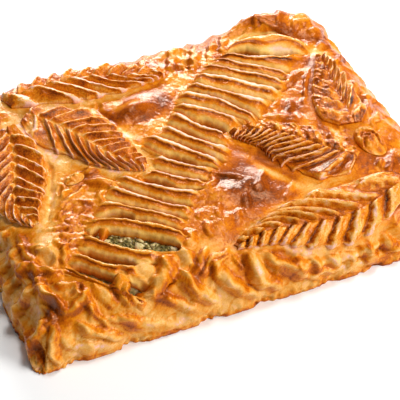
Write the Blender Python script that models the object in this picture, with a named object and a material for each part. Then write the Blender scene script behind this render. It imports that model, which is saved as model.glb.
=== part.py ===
"""A baked tray pie: a glazed pastry crust with a slit band, its filling, and pastry leaves laid on it."""

import math

import bmesh
import bpy
import numpy as np

# Sizes are in millimetres until onCrust and the mesh helpers turn them into metres.
MM = 0.001
LENGTH, WIDTH = 300.0, 230.0
HEIGHT, DOME = 32.0, 4.0
SHOULDER = 8.0  # the wall reaches 63% of its height this far in from the edge
CORNER = 14.0
CRUST_CELL = 1.5
CRUST_SHARE = 0.076  # the share of the fine grid's triangles that the crust keeps
SHELL, WALL, FLOOR = 5.2, 12.0, 4.5
FOOT_SPARE = 1.0  # the wall is made this much too deep, then trimmed flat
GAP = 0.5
LEAF_GAP = 0.7

# The band of strips runs along u, the diagonal from the front left to the back right, and v runs across it.
BAND = math.radians(45.0)
CREST, GROOVE, LIP = 1.8, -3.0, 1.2
SLIT_END, SLIT_STEPS = 0.8, 9
CUTTER_TOP, CUTTER_FOOT = 12.0, 4.0

# One row for each crest: u at v = -25, 0 and 20, the ends in v, then the open slit past it: width and ends in v.
CRESTS = (
    (-129.5, -131.5, -126.0, -30, 20, 3.2, -28, -3),
    (-117.0, -115.0, -104.0, -30, 16, 2.2, -29, 6),
    (-101.5, -101.0, -94.0, -32, 27, 9.5, -29, 26),
    (-85.0, -78.0, -76.5, -32, 25, 1.8, -28, -8),
    (-70.5, -68.0, -66.0, -32, 20, 0.0, 0, 0),
    (-57.5, -58.0, -55.5, -32, 20, 0.0, 0, 0),
    (-46.5, -46.0, -40.5, -30, 22, 1.8, -22, 4),
    (-34.5, -34.0, -31.5, -16, 20, 0.0, 0, 0),
    (-17.5, -22.0, -18.0, -28, 22, 1.6, -14, 10),
    (-5.0, -7.5, -10.0, -28, 24, 0.0, 0, 0),
    (10.0, 3.0, 3.5, -22, 28, 1.5, -18, 6),
    (24.5, 16.5, 16.5, -22, 20, 2.2, -6, 17),
    (31.0, 33.0, 31.5, -24, 30, 0.0, 0, 0),
    (44.0, 46.0, 42.0, -24, 32, 0.0, 0, 0),
    (55.5, 54.5, 56.0, -24, 34, 0.0, 0, 0),
    (66.0, 69.5, 71.0, -26, 34, 0.0, 0, 0),
    (76.0, 79.5, 81.5, -26, 34, 0.0, 0, 0),
    (85.0, 88.0, 90.0, -20, 34, 0.0, 0, 0),
    (96.0, 98.0, 106.0, -18, 38, 8.0, -10, 36),
    (124.0, 127.0, 134.0, -20, 36, 0.0, 0, 0),
)

PLEAT_SIDE, PLEAT_FRONT = 17.7, 20.0
PLEAT_DEPTH = 2.6
LOBE, LOBE_DEPTH = 37.0, 1.4

LEAF_THICK, RIB_DEPTH, RIB_PITCH = 3.0, 1.1, 7.0
RIB_SLANT, VEIN_DEPTH = 0.75, 0.8
LEAF_COLUMNS = (-1.0, -0.6, -0.1, 0.1, 0.6, 1.0)
LEAF_END = 0.985  # the tip is blunt
STATIONS = (0.0, 0.1, 0.3, 0.5, 0.7, 0.85, 1.0)

# Each leaf: its midrib from base to tip, and half-widths left and right of it at STATIONS.
LEAVES = {
    "leaf_left_inner": (
        ((-90, 66), (-84, 59), (-76, 47), (-68, 35), (-62, 22), (-57, 10), (-49, -1), (-37, -12)),
        (5, 10, 24, 24, 19, 13, 2.5),
        (8, 15, 21, 17, 11, 6, 2),
    ),
    "leaf_left_edge": (
        ((-108, 57), (-108, 44), (-111, 28), (-116, 15), (-121, 3), (-124, -8), (-123, -20), (-119, -31)),
        (5, 8, 14, 19, 18, 13, 2),
        (7, 12, 15, 15, 12, 8, 2),
    ),
    "leaf_back_edge": (
        ((-99, 84), (-80, 89), (-60, 90), (-40, 87), (-22, 79), (-5, 73), (12, 70)),
        (7, 10, 13, 14, 13, 9, 2.5),
        (7, 13, 20, 22, 15, 8, 2.5),
    ),
    "leaf_right_inner": (
        ((92, -52), (84, -44), (73, -33), (63, -21), (52, -10), (40, -5), (24, -3)),
        (10, 20, 30, 28, 22, 14, 3),
        (6, 11, 16, 13, 7, 5, 2.5),
    ),
    "leaf_right_edge": (
        ((106, -21), (107, -10), (109, 8), (112, 24), (115, 38), (117, 51)),
        (12, 21, 22, 17, 11, 7, 2),
        (7, 13, 16, 14, 11, 7, 2),
    ),
    "leaf_front_edge": (
        ((112, -79), (98, -84), (80, -91), (58, -93), (35, -91), (12, -87), (-14, -92)),
        (7, 11, 14, 15, 13, 8, 2),
        (7, 14, 24, 24, 15, 6, 2),
    ),
}

# Rolled knobs where the leaves meet, and a loose curl: centre, half sizes, height and turn in degrees.
KNOBS = {
    "bud_right": ((107.5, -41), (9, 14), 6.5, 8),
    "bud_left": ((-117, 70), (9, 11), 6.0, 12),
    "curl_left": ((-83.5, -3.5), (7, 4), 3.6, 12),
}

# Broad bumps of the baked dough: centre, half sizes, height and turn in degrees.
SWELLS = (
    ((-16, 46), (17, 11), 5.0, 15),
    ((2, -50), (16, 13), 2.6, 0),
    ((22, -52), (9, 16), 2.0, 20),
    ((-12, -72), (12, 8), 1.8, 30),
    ((-118, -52), (12, 10), 2.4, 0),
    ((-112, -92), (14, 8), 2.2, 20),
    ((66, -2), (14, 7), 1.8, -20),
    ((20, 92), (13, 8), 1.8, 0),
    ((98, 96), (16, 8), 2.2, -15),
    ((126, 76), (9, 14), 2.4, 0),
)


def smooth(low, high, value):
    """0 below low, 1 above high and an even rise between."""
    t = np.clip((value - low) / (high - low), 0.0, 1.0)
    return t * t * (3.0 - 2.0 * t)


def pillow(x, y):
    """Height of the smooth crust above the tray at plan position x, y."""
    across = 1.0 - np.exp(-np.clip(LENGTH / 2 - np.abs(x), 0, None) / SHOULDER)
    along = 1.0 - np.exp(-np.clip(WIDTH / 2 - np.abs(y), 0, None) / SHOULDER)
    crown = np.clip(1 - (2 * x / LENGTH) ** 2, 0, 1) * np.clip(1 - (2 * y / WIDTH) ** 2, 0, 1)
    return HEIGHT * across * along + DOME * crown


def onCrust(x, y, lift):
    """Points this far out from the smooth crust, along its normal."""
    step = 0.05
    slopeX = (pillow(x + step, y) - pillow(x - step, y)) / (2 * step)
    slopeY = (pillow(x, y + step) - pillow(x, y - step)) / (2 * step)
    steep = np.sqrt(1 + slopeX**2 + slopeY**2)
    height = pillow(x, y) + lift / steep
    return np.stack([x - lift * slopeX / steep, y - lift * slopeY / steep, height], axis=-1)


def crestAt(row, v):
    """u of a crest at v, a parabola through its three measured points."""
    v = np.clip(v, row[3], row[4])
    ends = row[0] * v * (v - 20) / 1125.0 + row[2] * v * (v + 25) / 900.0
    return ends + row[1] * (v + 25) * (20 - v) / 500.0


def slitWidth(row, v):
    """Width of the open slit past a crest, pointed at both ends."""
    if not row[5]:
        return np.zeros_like(v)
    middle, half = (row[6] + row[7]) / 2, (row[7] - row[6]) / 2
    return row[5] * np.sqrt(np.clip(1 - ((v - middle) / half) ** 2, 0, 1))


def stripRelief(x, y):
    """Each strip rises from the groove behind the last crest to a crest of its own."""
    u = x * math.cos(BAND) + y * math.sin(BAND)
    v = x * math.sin(BAND) - y * math.cos(BAND)
    relief = np.zeros_like(u)
    for row, after in zip(CRESTS, CRESTS[1:]):
        start, end = crestAt(row, v), crestAt(after, v)
        past, gap = u - start, end - start
        wall = np.maximum(slitWidth(row, v), LIP)
        climb = np.clip((past - wall) / (gap - wall), 0, 1)
        shape = GROOVE + (CREST - GROOVE) * np.sin(climb * math.pi / 2) ** 0.8
        shape = np.where(past < LIP, CREST + (GROOVE - CREST) * past / LIP, shape)
        top, low = max(row[3], after[3]), min(row[4], after[4])
        fade = smooth(top - 1, top + 4, v) * smooth(low + 1, low - 4, v)
        relief = np.where((past >= 0) & (past < gap), shape * fade, relief)
    return relief


def curve(points, count):
    """A smooth line through the points, at even steps."""
    line = np.array(points, float)
    for _ in range(3):
        cut = np.stack([0.75 * line[:-1] + 0.25 * line[1:], 0.25 * line[:-1] + 0.75 * line[1:]], 1)
        line = np.concatenate([line[:1], cut.reshape(-1, 2), line[-1:]])
    run = np.concatenate([[0], np.cumsum(np.hypot(*np.diff(line, axis=0).T))])
    at = np.linspace(0, run[-1], count)
    return np.stack([np.interp(at, run, line[:, k]) for k in (0, 1)], 1), run[-1]


def leafCover(x, y, margin):
    """1 on a leaf and just round it, falling to 0 this much further out."""
    cover = np.zeros_like(x)
    for midrib, left, right in LEAVES.values():
        line, _ = curve(midrib, 50)
        heading = np.gradient(line, axis=0)
        heading /= np.hypot(*heading.T)[:, None]
        along = np.linspace(0, 1, len(line))
        reaches = zip(np.interp(along, STATIONS, left), np.interp(along, STATIONS, right))
        for (cx, cy), (hx, hy), (reachLeft, reachRight) in zip(line, heading, reaches):
            side = hx * (y - cy) - hy * (x - cx)
            reach = reachRight + (reachLeft - reachRight) * smooth(-4, 4, side)
            cover = np.maximum(cover, 1 - smooth(1, 1 + margin, np.hypot(x - cx, y - cy) - reach))
    return cover


def ellipseDistance(x, y, centre, half, turn):
    """1 on the rim of a turned ellipse and 0 at its centre."""
    c, s = math.cos(math.radians(turn)), math.sin(math.radians(turn))
    along = (x - centre[0]) * c + (y - centre[1]) * s
    across = (y - centre[1]) * c - (x - centre[0]) * s
    return np.hypot(along / half[0], across / half[1])


def wallRelief(x, y):
    """Pleats round the wall, and lobes along its foot."""
    edgeX, edgeY = LENGTH / 2 - np.abs(x), WIDTH / 2 - np.abs(y)
    onSide = smooth(-6, 6, edgeY - edgeX)
    depth = np.minimum(edgeX, edgeY)
    lean = 5.0 * np.sin(depth / 7.0)
    uneven = 2.5 * np.sin(2 * math.pi * (x - y) / 83) + 1.5 * np.sin(2 * math.pi * (x + 1.3 * y) / 47)
    side = np.cos(2 * math.pi * (y + 18 + lean + uneven) / PLEAT_SIDE)
    front = np.cos(2 * math.pi * (x + 35 - lean * np.sign(y) + uneven) / PLEAT_FRONT)
    pleat = onSide * side + (1 - onSide) * front
    lobe = onSide * np.cos(2 * math.pi * y / LOBE) + (1 - onSide) * np.cos(2 * math.pi * x / LOBE)
    height = smooth(0, 5, depth) * smooth(30, 14, depth) * (1 + 0.25 * np.sin((x + 2 * y) / 29))
    foot = smooth(4, 0, depth)
    return PLEAT_DEPTH * (pleat - 0.3) * height + LOBE_DEPTH * lobe * foot


def relief(x, y):
    """All of the crust's relief, out from the smooth form."""
    bare = 1 - leafCover(x, y, 5.0)
    total = stripRelief(x, y) + wallRelief(x, y)
    for centre, half, height, turn in SWELLS:
        total = total + height * smooth(1.3, 0, ellipseDistance(x, y, centre, half, turn))
    for centre, half, _, turn in KNOBS.values():
        bare = bare * smooth(1.0, 1.6, ellipseDistance(x, y, centre, half, turn))
    return total * bare


def evenSteps(size, cell, inset):
    """Positions from edge to edge of the crust, even along its profile and not in plan."""
    inward = np.linspace(inset, size / 2, 400)
    run = np.hypot(np.diff(inward), np.diff(HEIGHT * (1 - np.exp(-inward / SHOULDER))))
    run = np.concatenate([[0], np.cumsum(run)])
    count = max(4, round(run[-1] / cell))
    half = size / 2 - np.interp(np.linspace(0, run[-1], count + 1), run, inward)
    return np.concatenate([-half[:-1], half[::-1]])


def gridMesh(columns, rows):
    """A flat grid with a vertex at each column and row, in that order."""
    bm = bmesh.new()
    bmesh.ops.create_grid(bm, x_segments=len(columns) - 1, y_segments=len(rows) - 1, size=0.5)
    order = sorted(bm.verts, key=lambda v: (round(v.co.y, 6), round(v.co.x, 6)))
    x, y = np.meshgrid(columns, rows)
    return bm, order, x.ravel(), y.ravel()


def place(verts, points):
    for vert, point in zip(verts, points):
        vert.co = [float(c) * MM for c in point]


def addObject(name, bm, collection, colour=None, roughness=0.4):
    bm.normal_update()
    bmesh.ops.recalc_face_normals(bm, faces=bm.faces)
    mesh = bpy.data.meshes.new(name)
    bm.to_mesh(mesh)
    bm.free()
    obj = bpy.data.objects.new(name, mesh)
    collection.objects.link(obj)
    if colour is None:
        obj.hide_render = True
        obj.display_type = "WIRE"
        return obj
    material = bpy.data.materials.new(name)
    material.use_nodes = True
    shader = material.node_tree.nodes["Principled BSDF"]
    shader.inputs["Base Color"].default_value = (*colour, 1)
    shader.inputs["Roughness"].default_value = roughness
    mesh.materials.append(material)
    return obj


def roundedCorners(x, y):
    """Turns the square corners of the outermost rings into arcs."""
    ring = np.maximum(2 * np.abs(x) / LENGTH, 2 * np.abs(y) / WIDTH)
    radius = CORNER * ring**6
    coreX = np.maximum(ring * LENGTH / 2 - radius, 0)
    coreY = np.maximum(ring * WIDTH / 2 - radius, 0)
    offX, offY = np.clip(np.abs(x) - coreX, 0, None), np.clip(np.abs(y) - coreY, 0, None)
    scale = np.maximum(offX, offY) / np.maximum(np.hypot(offX, offY), 1e-9)
    insideX, insideY = np.minimum(np.abs(x), coreX), np.minimum(np.abs(y), coreY)
    return np.sign(x) * (insideX + offX * scale), np.sign(y) * (insideY + offY * scale)


def addCrustOuter(collection):
    columns, rows = evenSteps(LENGTH, CRUST_CELL, 0), evenSteps(WIDTH, CRUST_CELL, 0)
    bm, verts, x, y = gridMesh(columns, rows)
    points = onCrust(x, y, relief(x, y))
    roundX, roundY = roundedCorners(x, y)
    points[:, 0] += roundX - x
    points[:, 1] += roundY - y
    edge = np.array([v.is_boundary for v in verts])
    points[:, 2] = np.where(edge, -FOOT_SPARE, np.maximum(points[:, 2], 0.3))
    place(verts, points)
    bmesh.ops.holes_fill(bm, edges=[e for e in bm.edges if e.is_boundary], sides=0)
    return addObject("crust", bm, collection, colour=(0.55, 0.22, 0.04), roughness=0.3)


def addSlab(name, collection, cell, inset, sink, floor, **look):
    """A body with the crust's own smooth top, sunk, and upright sides down to a floor."""
    bm, verts, x, y = gridMesh(evenSteps(LENGTH, cell, inset), evenSteps(WIDTH, cell, inset))
    place(verts, onCrust(x, y, -sink))
    rim = [e for e in bm.edges if e.is_boundary]
    low = bmesh.ops.extrude_edge_only(bm, edges=rim)["geom"]
    for vert in low:
        if isinstance(vert, bmesh.types.BMVert):
            vert.co.z = floor * MM
    bmesh.ops.holes_fill(bm, edges=[e for e in bm.edges if e.is_boundary], sides=0)
    return addObject(name, bm, collection, **look)


def addFootPlane(collection):
    """A block that trims the crust to one flat underside."""
    bm = bmesh.new()
    bmesh.ops.create_cube(bm, size=1.0)
    size = (LENGTH + 40, WIDTH + 40, 4 * FOOT_SPARE)
    bmesh.ops.scale(bm, verts=bm.verts, vec=[side * MM for side in size])
    bmesh.ops.translate(bm, verts=bm.verts, vec=(0, 0, -size[2] / 2 * MM))
    return addObject("foot_plane", bm, collection)


def addSecondSkin(bm, verts, points):
    """Closes a sheet with a copy of it whose vertices are at these points."""
    order = {vert: i for i, vert in enumerate(verts)}
    made = bmesh.ops.duplicate(bm, geom=bm.verts[:] + bm.edges[:] + bm.faces[:])
    copies = [(made["vert_map"][vert], i) for vert, i in order.items()]
    for copy, i in copies:
        copy.co = [float(c) * MM for c in points[i]]
    bmesh.ops.bridge_loops(bm, edges=[e for e in bm.edges if e.is_boundary])


def addSlitCutter(index, row, collection):
    """A curved slot past one crest, from inside the cavity to above the crust."""
    ends = np.linspace(row[6] + SLIT_END, row[7] - SLIT_END, SLIT_STEPS)
    bm, verts, v, level = gridMesh(ends, (0.0, 1.0))
    lift = np.where(level > 0.5, CUTTER_TOP, -SHELL - CUTTER_FOOT)

    def wallAt(past):
        u = crestAt(row, v) + past
        x = u * math.cos(BAND) + v * math.sin(BAND)
        y = u * math.sin(BAND) - v * math.cos(BAND)
        return onCrust(x, y, lift)

    place(verts, wallAt(LIP * 0.5))
    addSecondSkin(bm, verts, wallAt(np.maximum(slitWidth(row, v), LIP * 1.3)))
    return addObject(f"slit_{index}", bm, collection)


def addLeaf(name, collection):
    """A ribbed leaf: a grid of slanting ribs laid on the crust, with its underside smooth."""
    midrib, left, right = LEAVES[name]
    line, length = curve(midrib, 200)
    along = np.linspace(0, 1, len(line))
    heading = np.gradient(line, axis=0)
    heading /= np.hypot(*heading.T)[:, None]
    ribs = max(6, round(length / RIB_PITCH))
    bm, verts, side, root = gridMesh(LEAF_COLUMNS, np.linspace(0.0, LEAF_END, 2 * ribs + 1))

    def halfWidth(at):
        return np.where(side < 0, np.interp(at, STATIONS, right), np.interp(at, STATIONS, left))

    slant = np.minimum(RIB_SLANT * halfWidth(root) / length, 0.6 * (1 - root)) * smooth(0, 0.15, root)
    at = root + slant * np.abs(side)
    ridge = -np.cos(2 * math.pi * ribs * root / LEAF_END)
    half = halfWidth(at) * (1 + 0.05 * ridge * smooth(1, 0.9, root))
    x = np.interp(at, along, line[:, 0]) - side * half * np.interp(at, along, heading[:, 1])
    y = np.interp(at, along, line[:, 1]) + side * half * np.interp(at, along, heading[:, 0])
    vein = smooth(0, 0.2, np.abs(side))
    rim = 1 - 0.25 * smooth(0.8, 1.0, np.abs(side))
    thick = (LEAF_THICK + RIB_DEPTH * ridge * vein - VEIN_DEPTH * (1 - vein)) * rim
    place(verts, onCrust(x, y, np.full_like(x, LEAF_GAP)))
    addSecondSkin(bm, verts, onCrust(x, y, LEAF_GAP + thick))
    return addObject(name, bm, collection, colour=(0.5, 0.18, 0.03), roughness=0.3)


def addKnob(name, collection):
    """A rolled end of dough: a flat-bottomed mound on the crust with a ridge wound over it."""
    centre, half, height, turn = KNOBS[name]
    bm = bmesh.new()
    bmesh.ops.create_uvsphere(bm, u_segments=16, v_segments=10, radius=1.0)
    c, s = math.cos(math.radians(turn)), math.sin(math.radians(turn))
    for vert in bm.verts:
        px, py, pz = vert.co
        x = centre[0] + half[0] * px * c - half[1] * py * s
        y = centre[1] + half[0] * px * s + half[1] * py * c
        wave = 1 + 0.18 * math.sin(2.6 * math.atan2(py, px) + 3.0 * math.hypot(px, py))
        lift = GAP + (height * wave * pz if pz > 0 else 0.35 * (1 + pz)) + (0.35 if pz > 0 else 0)
        vert.co = [float(v) * MM for v in onCrust(np.float64(x), np.float64(y), lift)]
    return addObject(name, bm, collection, colour=(0.42, 0.13, 0.02), roughness=0.35)


def addBoolean(obj, name, operation, operand):
    modifier = obj.modifiers.new(name, "BOOLEAN")
    modifier.operation = operation
    modifier.solver = "EXACT"
    if isinstance(operand, bpy.types.Collection):
        modifier.operand_type = "COLLECTION"
        modifier.collection = operand
    else:
        modifier.object = operand


def main():
    for obj in list(bpy.data.objects):
        bpy.data.objects.remove(obj, do_unlink=True)
    pie = bpy.data.collections.new("chicken_and_potato_pie")
    cutters = bpy.data.collections.new("slit_cutters")
    hollows = bpy.data.collections.new("cavity_cutters")
    for collection in (pie, cutters, hollows):
        bpy.context.scene.collection.children.link(collection)

    crust = addCrustOuter(pie)
    thinned = crust.modifiers.new("Fewer facets", "DECIMATE")
    thinned.ratio = CRUST_SHARE
    cavity = addSlab("cavity", hollows, 16.0, WALL, SHELL, FLOOR)
    for index, row in enumerate(CRESTS):
        if row[5]:
            addSlitCutter(index, row, cutters)
    addBoolean(crust, "Flat foot", "DIFFERENCE", addFootPlane(hollows))
    addBoolean(crust, "Cavity", "DIFFERENCE", cavity)
    addBoolean(crust, "Slits", "DIFFERENCE", cutters)

    look = {"colour": (0.62, 0.5, 0.28), "roughness": 0.6}
    addSlab("filling", pie, 16.0, WALL + GAP, SHELL + GAP, FLOOR + GAP, **look)
    for name in LEAVES:
        addLeaf(name, pie)
    for name in KNOBS:
        addKnob(name, pie)


main()
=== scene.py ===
import math

import bmesh
import bpy
import numpy as np
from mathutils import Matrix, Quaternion, Vector


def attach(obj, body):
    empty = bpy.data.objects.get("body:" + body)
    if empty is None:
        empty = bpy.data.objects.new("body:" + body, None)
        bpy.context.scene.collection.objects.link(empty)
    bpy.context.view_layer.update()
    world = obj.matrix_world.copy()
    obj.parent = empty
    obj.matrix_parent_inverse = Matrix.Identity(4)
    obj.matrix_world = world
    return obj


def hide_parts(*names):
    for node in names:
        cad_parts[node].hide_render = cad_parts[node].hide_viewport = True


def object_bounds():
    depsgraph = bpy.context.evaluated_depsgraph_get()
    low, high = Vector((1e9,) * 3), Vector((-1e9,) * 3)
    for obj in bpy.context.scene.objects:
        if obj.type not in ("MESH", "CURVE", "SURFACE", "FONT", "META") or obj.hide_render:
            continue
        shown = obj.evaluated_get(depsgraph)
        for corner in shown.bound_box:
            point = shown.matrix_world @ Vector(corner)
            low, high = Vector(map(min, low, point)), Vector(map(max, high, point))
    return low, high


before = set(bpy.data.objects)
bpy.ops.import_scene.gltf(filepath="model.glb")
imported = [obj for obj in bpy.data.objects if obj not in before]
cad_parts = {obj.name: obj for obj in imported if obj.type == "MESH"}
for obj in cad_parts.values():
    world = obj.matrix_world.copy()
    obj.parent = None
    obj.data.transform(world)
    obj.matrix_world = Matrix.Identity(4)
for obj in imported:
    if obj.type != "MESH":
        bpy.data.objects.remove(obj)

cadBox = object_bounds()
mm = 0.001  # shapes are worked out in millimetres, then placed in metres
boxEase = 0.6  # within this many millimetres of the box of the solids, relief is eased back

# The form of the pie, the same as its solids have

pie = {
    "length": 300.0,
    "width": 230.0,
    "height": 32.0,
    "dome": 4.0,
    "shoulder": 8.0,
    "corner": 14.0,
    "sharpCorner": 0.4,  # the front left corner's share of that radius
}

bandTurn = math.radians(45.0)  # u runs along the slit band from front left to back right, v across it

crestPlaces = (-25.0, 20.0)  # v where a crest's u is given, besides v = 0

# One row for each crest: u at the near place, at v = 0 and at the far place, the ends in v, then the open
# slit past it: width, ends in v and, for one that is wide at one end, how much it narrows to the other
crests = (
    (-129.5, -131.5, -126.0, -30, 20, 3.2, -28, 18),
    (-117.0, -115.0, -104.0, -30, 16, 2.2, -29, 6),
    (-101.5, -101.0, -94.0, -32, 27, 9.5, -29, 26),
    (-85.0, -78.0, -76.5, -32, 25, 1.8, -28, -8),
    (-70.5, -68.0, -66.0, -32, 20, 0.0, 0, 0),
    (-57.5, -58.0, -55.5, -32, 20, 0.0, 0, 0),
    (-46.5, -46.0, -40.5, -30, 22, 1.6, -22, 4),
    (-34.5, -34.0, -31.5, -16, 20, 0.0, 0, 0),
    (-17.5, -22.0, -18.0, -28, 22, 1.5, -14, 10),
    (-5.0, -7.5, -10.0, -28, 24, 0.0, 0, 0),
    (10.0, 3.0, 3.5, -22, 28, 1.2, -18, 6),
    (24.5, 16.5, 16.5, -22, 20, 1.8, -6, 17),
    (31.0, 33.0, 31.5, -24, 30, 0.0, 0, 0),
    (44.0, 46.0, 42.0, -24, 32, 0.0, 0, 0),
    (55.5, 54.5, 56.0, -22, 34, 0.0, 0, 0),
    (66.0, 69.5, 71.0, -21, 34, 0.0, 0, 0),
    (76.0, 79.5, 81.5, -20, 34, 0.0, 0, 0),
    (85.0, 88.0, 90.0, -16, 34, 0.0, 0, 0),
    (94.0, 96.0, 103.5, -13, 38, 10.0, -11, 36, 0.8),
    (85.0, 119.8, 129.5, -14, 38, 0.0, 0, 0),
)

# Each leaf: its midrib from base to tip, and half-widths left and right of it at the stations
stations = (0.0, 0.1, 0.3, 0.5, 0.7, 0.85, 1.0)
leaves = {
    "leaf_left_inner": (
        ((-90, 66), (-84, 59), (-76, 47), (-68, 35), (-62, 22), (-57, 10), (-49, -1), (-37, -12)),
        (6, 12, 24, 24, 19, 13, 2.5),
        (9, 18, 23, 19, 13, 8, 3),
    ),
    "leaf_left_edge": (
        ((-108, 57), (-108, 44), (-111, 28), (-116, 15), (-121, 3), (-124, -8), (-123, -20), (-119, -31)),
        (6, 11, 17, 20, 19, 14, 3),
        (7, 12, 15, 15, 12, 8, 2),
    ),
    "leaf_back_edge": (
        ((-99, 84), (-80, 89), (-60, 90), (-40, 87), (-22, 79), (-5, 73), (12, 70)),
        (5, 7, 10, 12, 12, 9, 2.5),
        (8, 15, 23, 25, 18, 9, 2.5),
    ),
    "leaf_right_inner": (
        ((92, -52), (84, -44), (73, -33), (63, -21), (52, -10), (40, -5), (24, -3)),
        (15, 26, 31, 28, 22, 14, 3),
        (6, 11, 16, 13, 7, 5, 2.5),
    ),
    "leaf_right_edge": (
        ((106, -21), (107, -10), (109, 8), (112, 24), (115, 38), (117, 51)),
        (12, 21, 22, 17, 11, 7, 2),
        (7, 13, 16, 14, 11, 7, 2),
    ),
    "leaf_front_edge": (
        ((112, -79), (98, -84), (80, -91), (58, -93), (35, -91), (12, -87), (-14, -92)),
        (7, 11, 14, 15, 13, 8, 2),
        (7, 14, 24, 24, 15, 6, 2),
    ),
}

knobs = {  # rolled ends of dough: centre, half sizes, height and turn in degrees
    "bud_right": ((107.5, -41), (9, 14), 6.5, 8),
    "bud_left": ((-117, 70), (9, 11), 6.0, 12),
    "curl_left": ((-83.5, -3.5), (7, 4), 3.6, 12),
}

swells = (  # broad bumps of the baked dough: centre, half sizes, height and turn in degrees
    ((-19, 47), (18, 13), 3.2, 15),
    ((-28, 41), (13, 8), 3.4, 25),
    ((2, -50), (16, 13), 2.6, 0),
    ((22, -52), (9, 16), 2.0, 20),
    ((-12, -72), (12, 8), 1.8, 30),
    ((-118, -52), (12, 10), 2.4, 0),
    ((-112, -92), (14, 8), 2.2, 20),
    ((66, -2), (14, 7), 1.8, -20),
    ((20, 92), (13, 8), 1.8, 0),
    ((100, 96), (42, 18), 10.5, -14),
    ((126, 76), (9, 14), 2.4, 0),
)


def smooth(low, high, value):  # from 0 at low to 1 at high with soft ends; low may be the higher one
    t = np.clip((value - low) / (high - low), 0.0, 1.0)
    return t * t * (3.0 - 2.0 * t)


def peak(value, place, width):  # 1 at this place, fading about this far to each side of it
    return np.exp(-(((value - place) / width) ** 2))


# An uneven field of soft hills about this many millimetres apart, from -1 to 1
def waves(x, y, size, seed):
    rng = np.random.default_rng(seed)
    total = np.zeros_like(x, dtype=float)
    for _ in range(9):
        angle, phase = rng.uniform(0, math.pi * 2), rng.uniform(0, math.pi * 2)
        step = 2 * math.pi / (size * rng.uniform(0.7, 1.6))
        total = total + np.sin((x * math.cos(angle) + y * math.sin(angle)) * step + phase)
    return total / 4.0


# Such fields on top of each other: height, size and seed of each
def layered(x, y, *layers):
    return sum(height * waves(x, y, size, seed) for height, size, seed in layers)


# The smooth form of the pie: the height of its surface over each place
def pillow(x, y):
    across = 1.0 - np.exp(-np.clip(pie["length"] / 2 - np.abs(x), 0, None) / pie["shoulder"])
    along = 1.0 - np.exp(-np.clip(pie["width"] / 2 - np.abs(y), 0, None) / pie["shoulder"])
    crown = np.clip(1 - (2 * x / pie["length"]) ** 2, 0, 1) * np.clip(1 - (2 * y / pie["width"]) ** 2, 0, 1)
    return pie["height"] * across * along + pie["dome"] * crown


# Points this far out from the smooth crust, along its normal
def onCrust(x, y, lift):
    step = 0.05
    slopeX = (pillow(x + step, y) - pillow(x - step, y)) / (2 * step)
    slopeY = (pillow(x, y + step) - pillow(x, y - step)) / (2 * step)
    steep = np.sqrt(1 + slopeX**2 + slopeY**2)
    height = pillow(x, y) + lift / steep
    return np.stack([x - lift * slopeX / steep, y - lift * slopeY / steep, height], axis=-1)


def toBand(x, y):
    c, s = math.cos(bandTurn), math.sin(bandTurn)
    return x * c + y * s, x * s - y * c


def fromBand(u, v):
    c, s = math.cos(bandTurn), math.sin(bandTurn)
    return u * c + v * s, u * s - v * c


# A crest's u at this v, on the parabola through its three places
def crestAt(row, v):
    near, far = crestPlaces
    atNear, atMiddle, atFar, low, high = row[:5]
    v = np.clip(v, low, high)
    ends = atNear * v * (v - far) / (near * (near - far)) + atFar * v * (v - near) / (far * (far - near))
    return ends + atMiddle * (v - near) * (far - v) / (-near * far)


def slitWidth(row, v):
    width, low, high, *narrows = row[5:]
    if not width:
        return np.zeros_like(v)
    middle, half = (low + high) / 2, (high - low) / 2
    narrowing = narrows[0] * smooth(-0.75, -0.1, (v - middle) / half) if narrows else 0
    return width * (1 - narrowing) * np.clip(1 - ((v - middle) / half) ** 2, 0, 1) ** 0.7


# A line that rounds the corners between these points, in even steps, and its length
def curve(points, count):
    line = np.array(points, float)
    for _ in range(3):
        cut = np.stack([0.75 * line[:-1] + 0.25 * line[1:], 0.25 * line[:-1] + 0.75 * line[1:]], 1)
        line = np.concatenate([line[:1], cut.reshape(-1, 2), line[-1:]])
    run = np.concatenate([[0], np.cumsum(np.hypot(*np.diff(line, axis=0).T))])
    at = np.linspace(0, run[-1], count)
    return np.stack([np.interp(at, run, line[:, k]) for k in (0, 1)], 1), run[-1]


def headingOf(line):  # the direction of a line at each of its points
    heading = np.gradient(line, axis=0)
    return heading / np.hypot(*heading.T)[:, None]


# 1 on a leaf and just round it, falling to 0 this much further out
def leafCover(x, y, margin):
    cover = np.zeros_like(x)
    for midrib, left, right in leaves.values():
        line, _ = curve(midrib, 50)
        along = np.linspace(0, 1, len(line))
        reaches = zip(np.interp(along, stations, left), np.interp(along, stations, right))
        for (cx, cy), (hx, hy), (reachLeft, reachRight) in zip(line, headingOf(line), reaches):
            side = hx * (y - cy) - hy * (x - cx)
            reach = reachRight + (reachLeft - reachRight) * smooth(-4, 4, side)
            cover = np.maximum(cover, 1 - smooth(1, 1 + margin, np.hypot(x - cx, y - cy) - reach))
    return cover


# How far out a place is from the centre of a turned ellipse, as a share: 1 on its edge
def ellipseDistance(x, y, centre, half, turn):
    c, s = math.cos(math.radians(turn)), math.sin(math.radians(turn))
    along = (x - centre[0]) * c + (y - centre[1]) * s
    across = (y - centre[1]) * c - (x - centre[0]) * s
    return np.hypot(along / half[0], across / half[1])


# The run along the crust's own surface, so that folds keep their width on the steep walls

inwardSteps = np.linspace(0, 160, 4000)
wallHeights = pie["height"] * (1 - np.exp(-inwardSteps / pie["shoulder"]))
runSteps = np.concatenate([[0], np.cumsum(np.hypot(np.diff(inwardSteps), np.diff(wallHeights)))])


def edgeRun(size):
    return np.interp(size / 2, inwardSteps, runSteps)


def toFlat(value, size):  # the run from the middle of the pie out to this x or y
    return np.sign(value) * (edgeRun(size) - np.interp(size / 2 - np.abs(value), inwardSteps, runSteps))


def fromFlat(run, size):
    return np.sign(run) * (size / 2 - np.interp(edgeRun(size) - np.abs(run), runSteps, inwardSteps))


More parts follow.
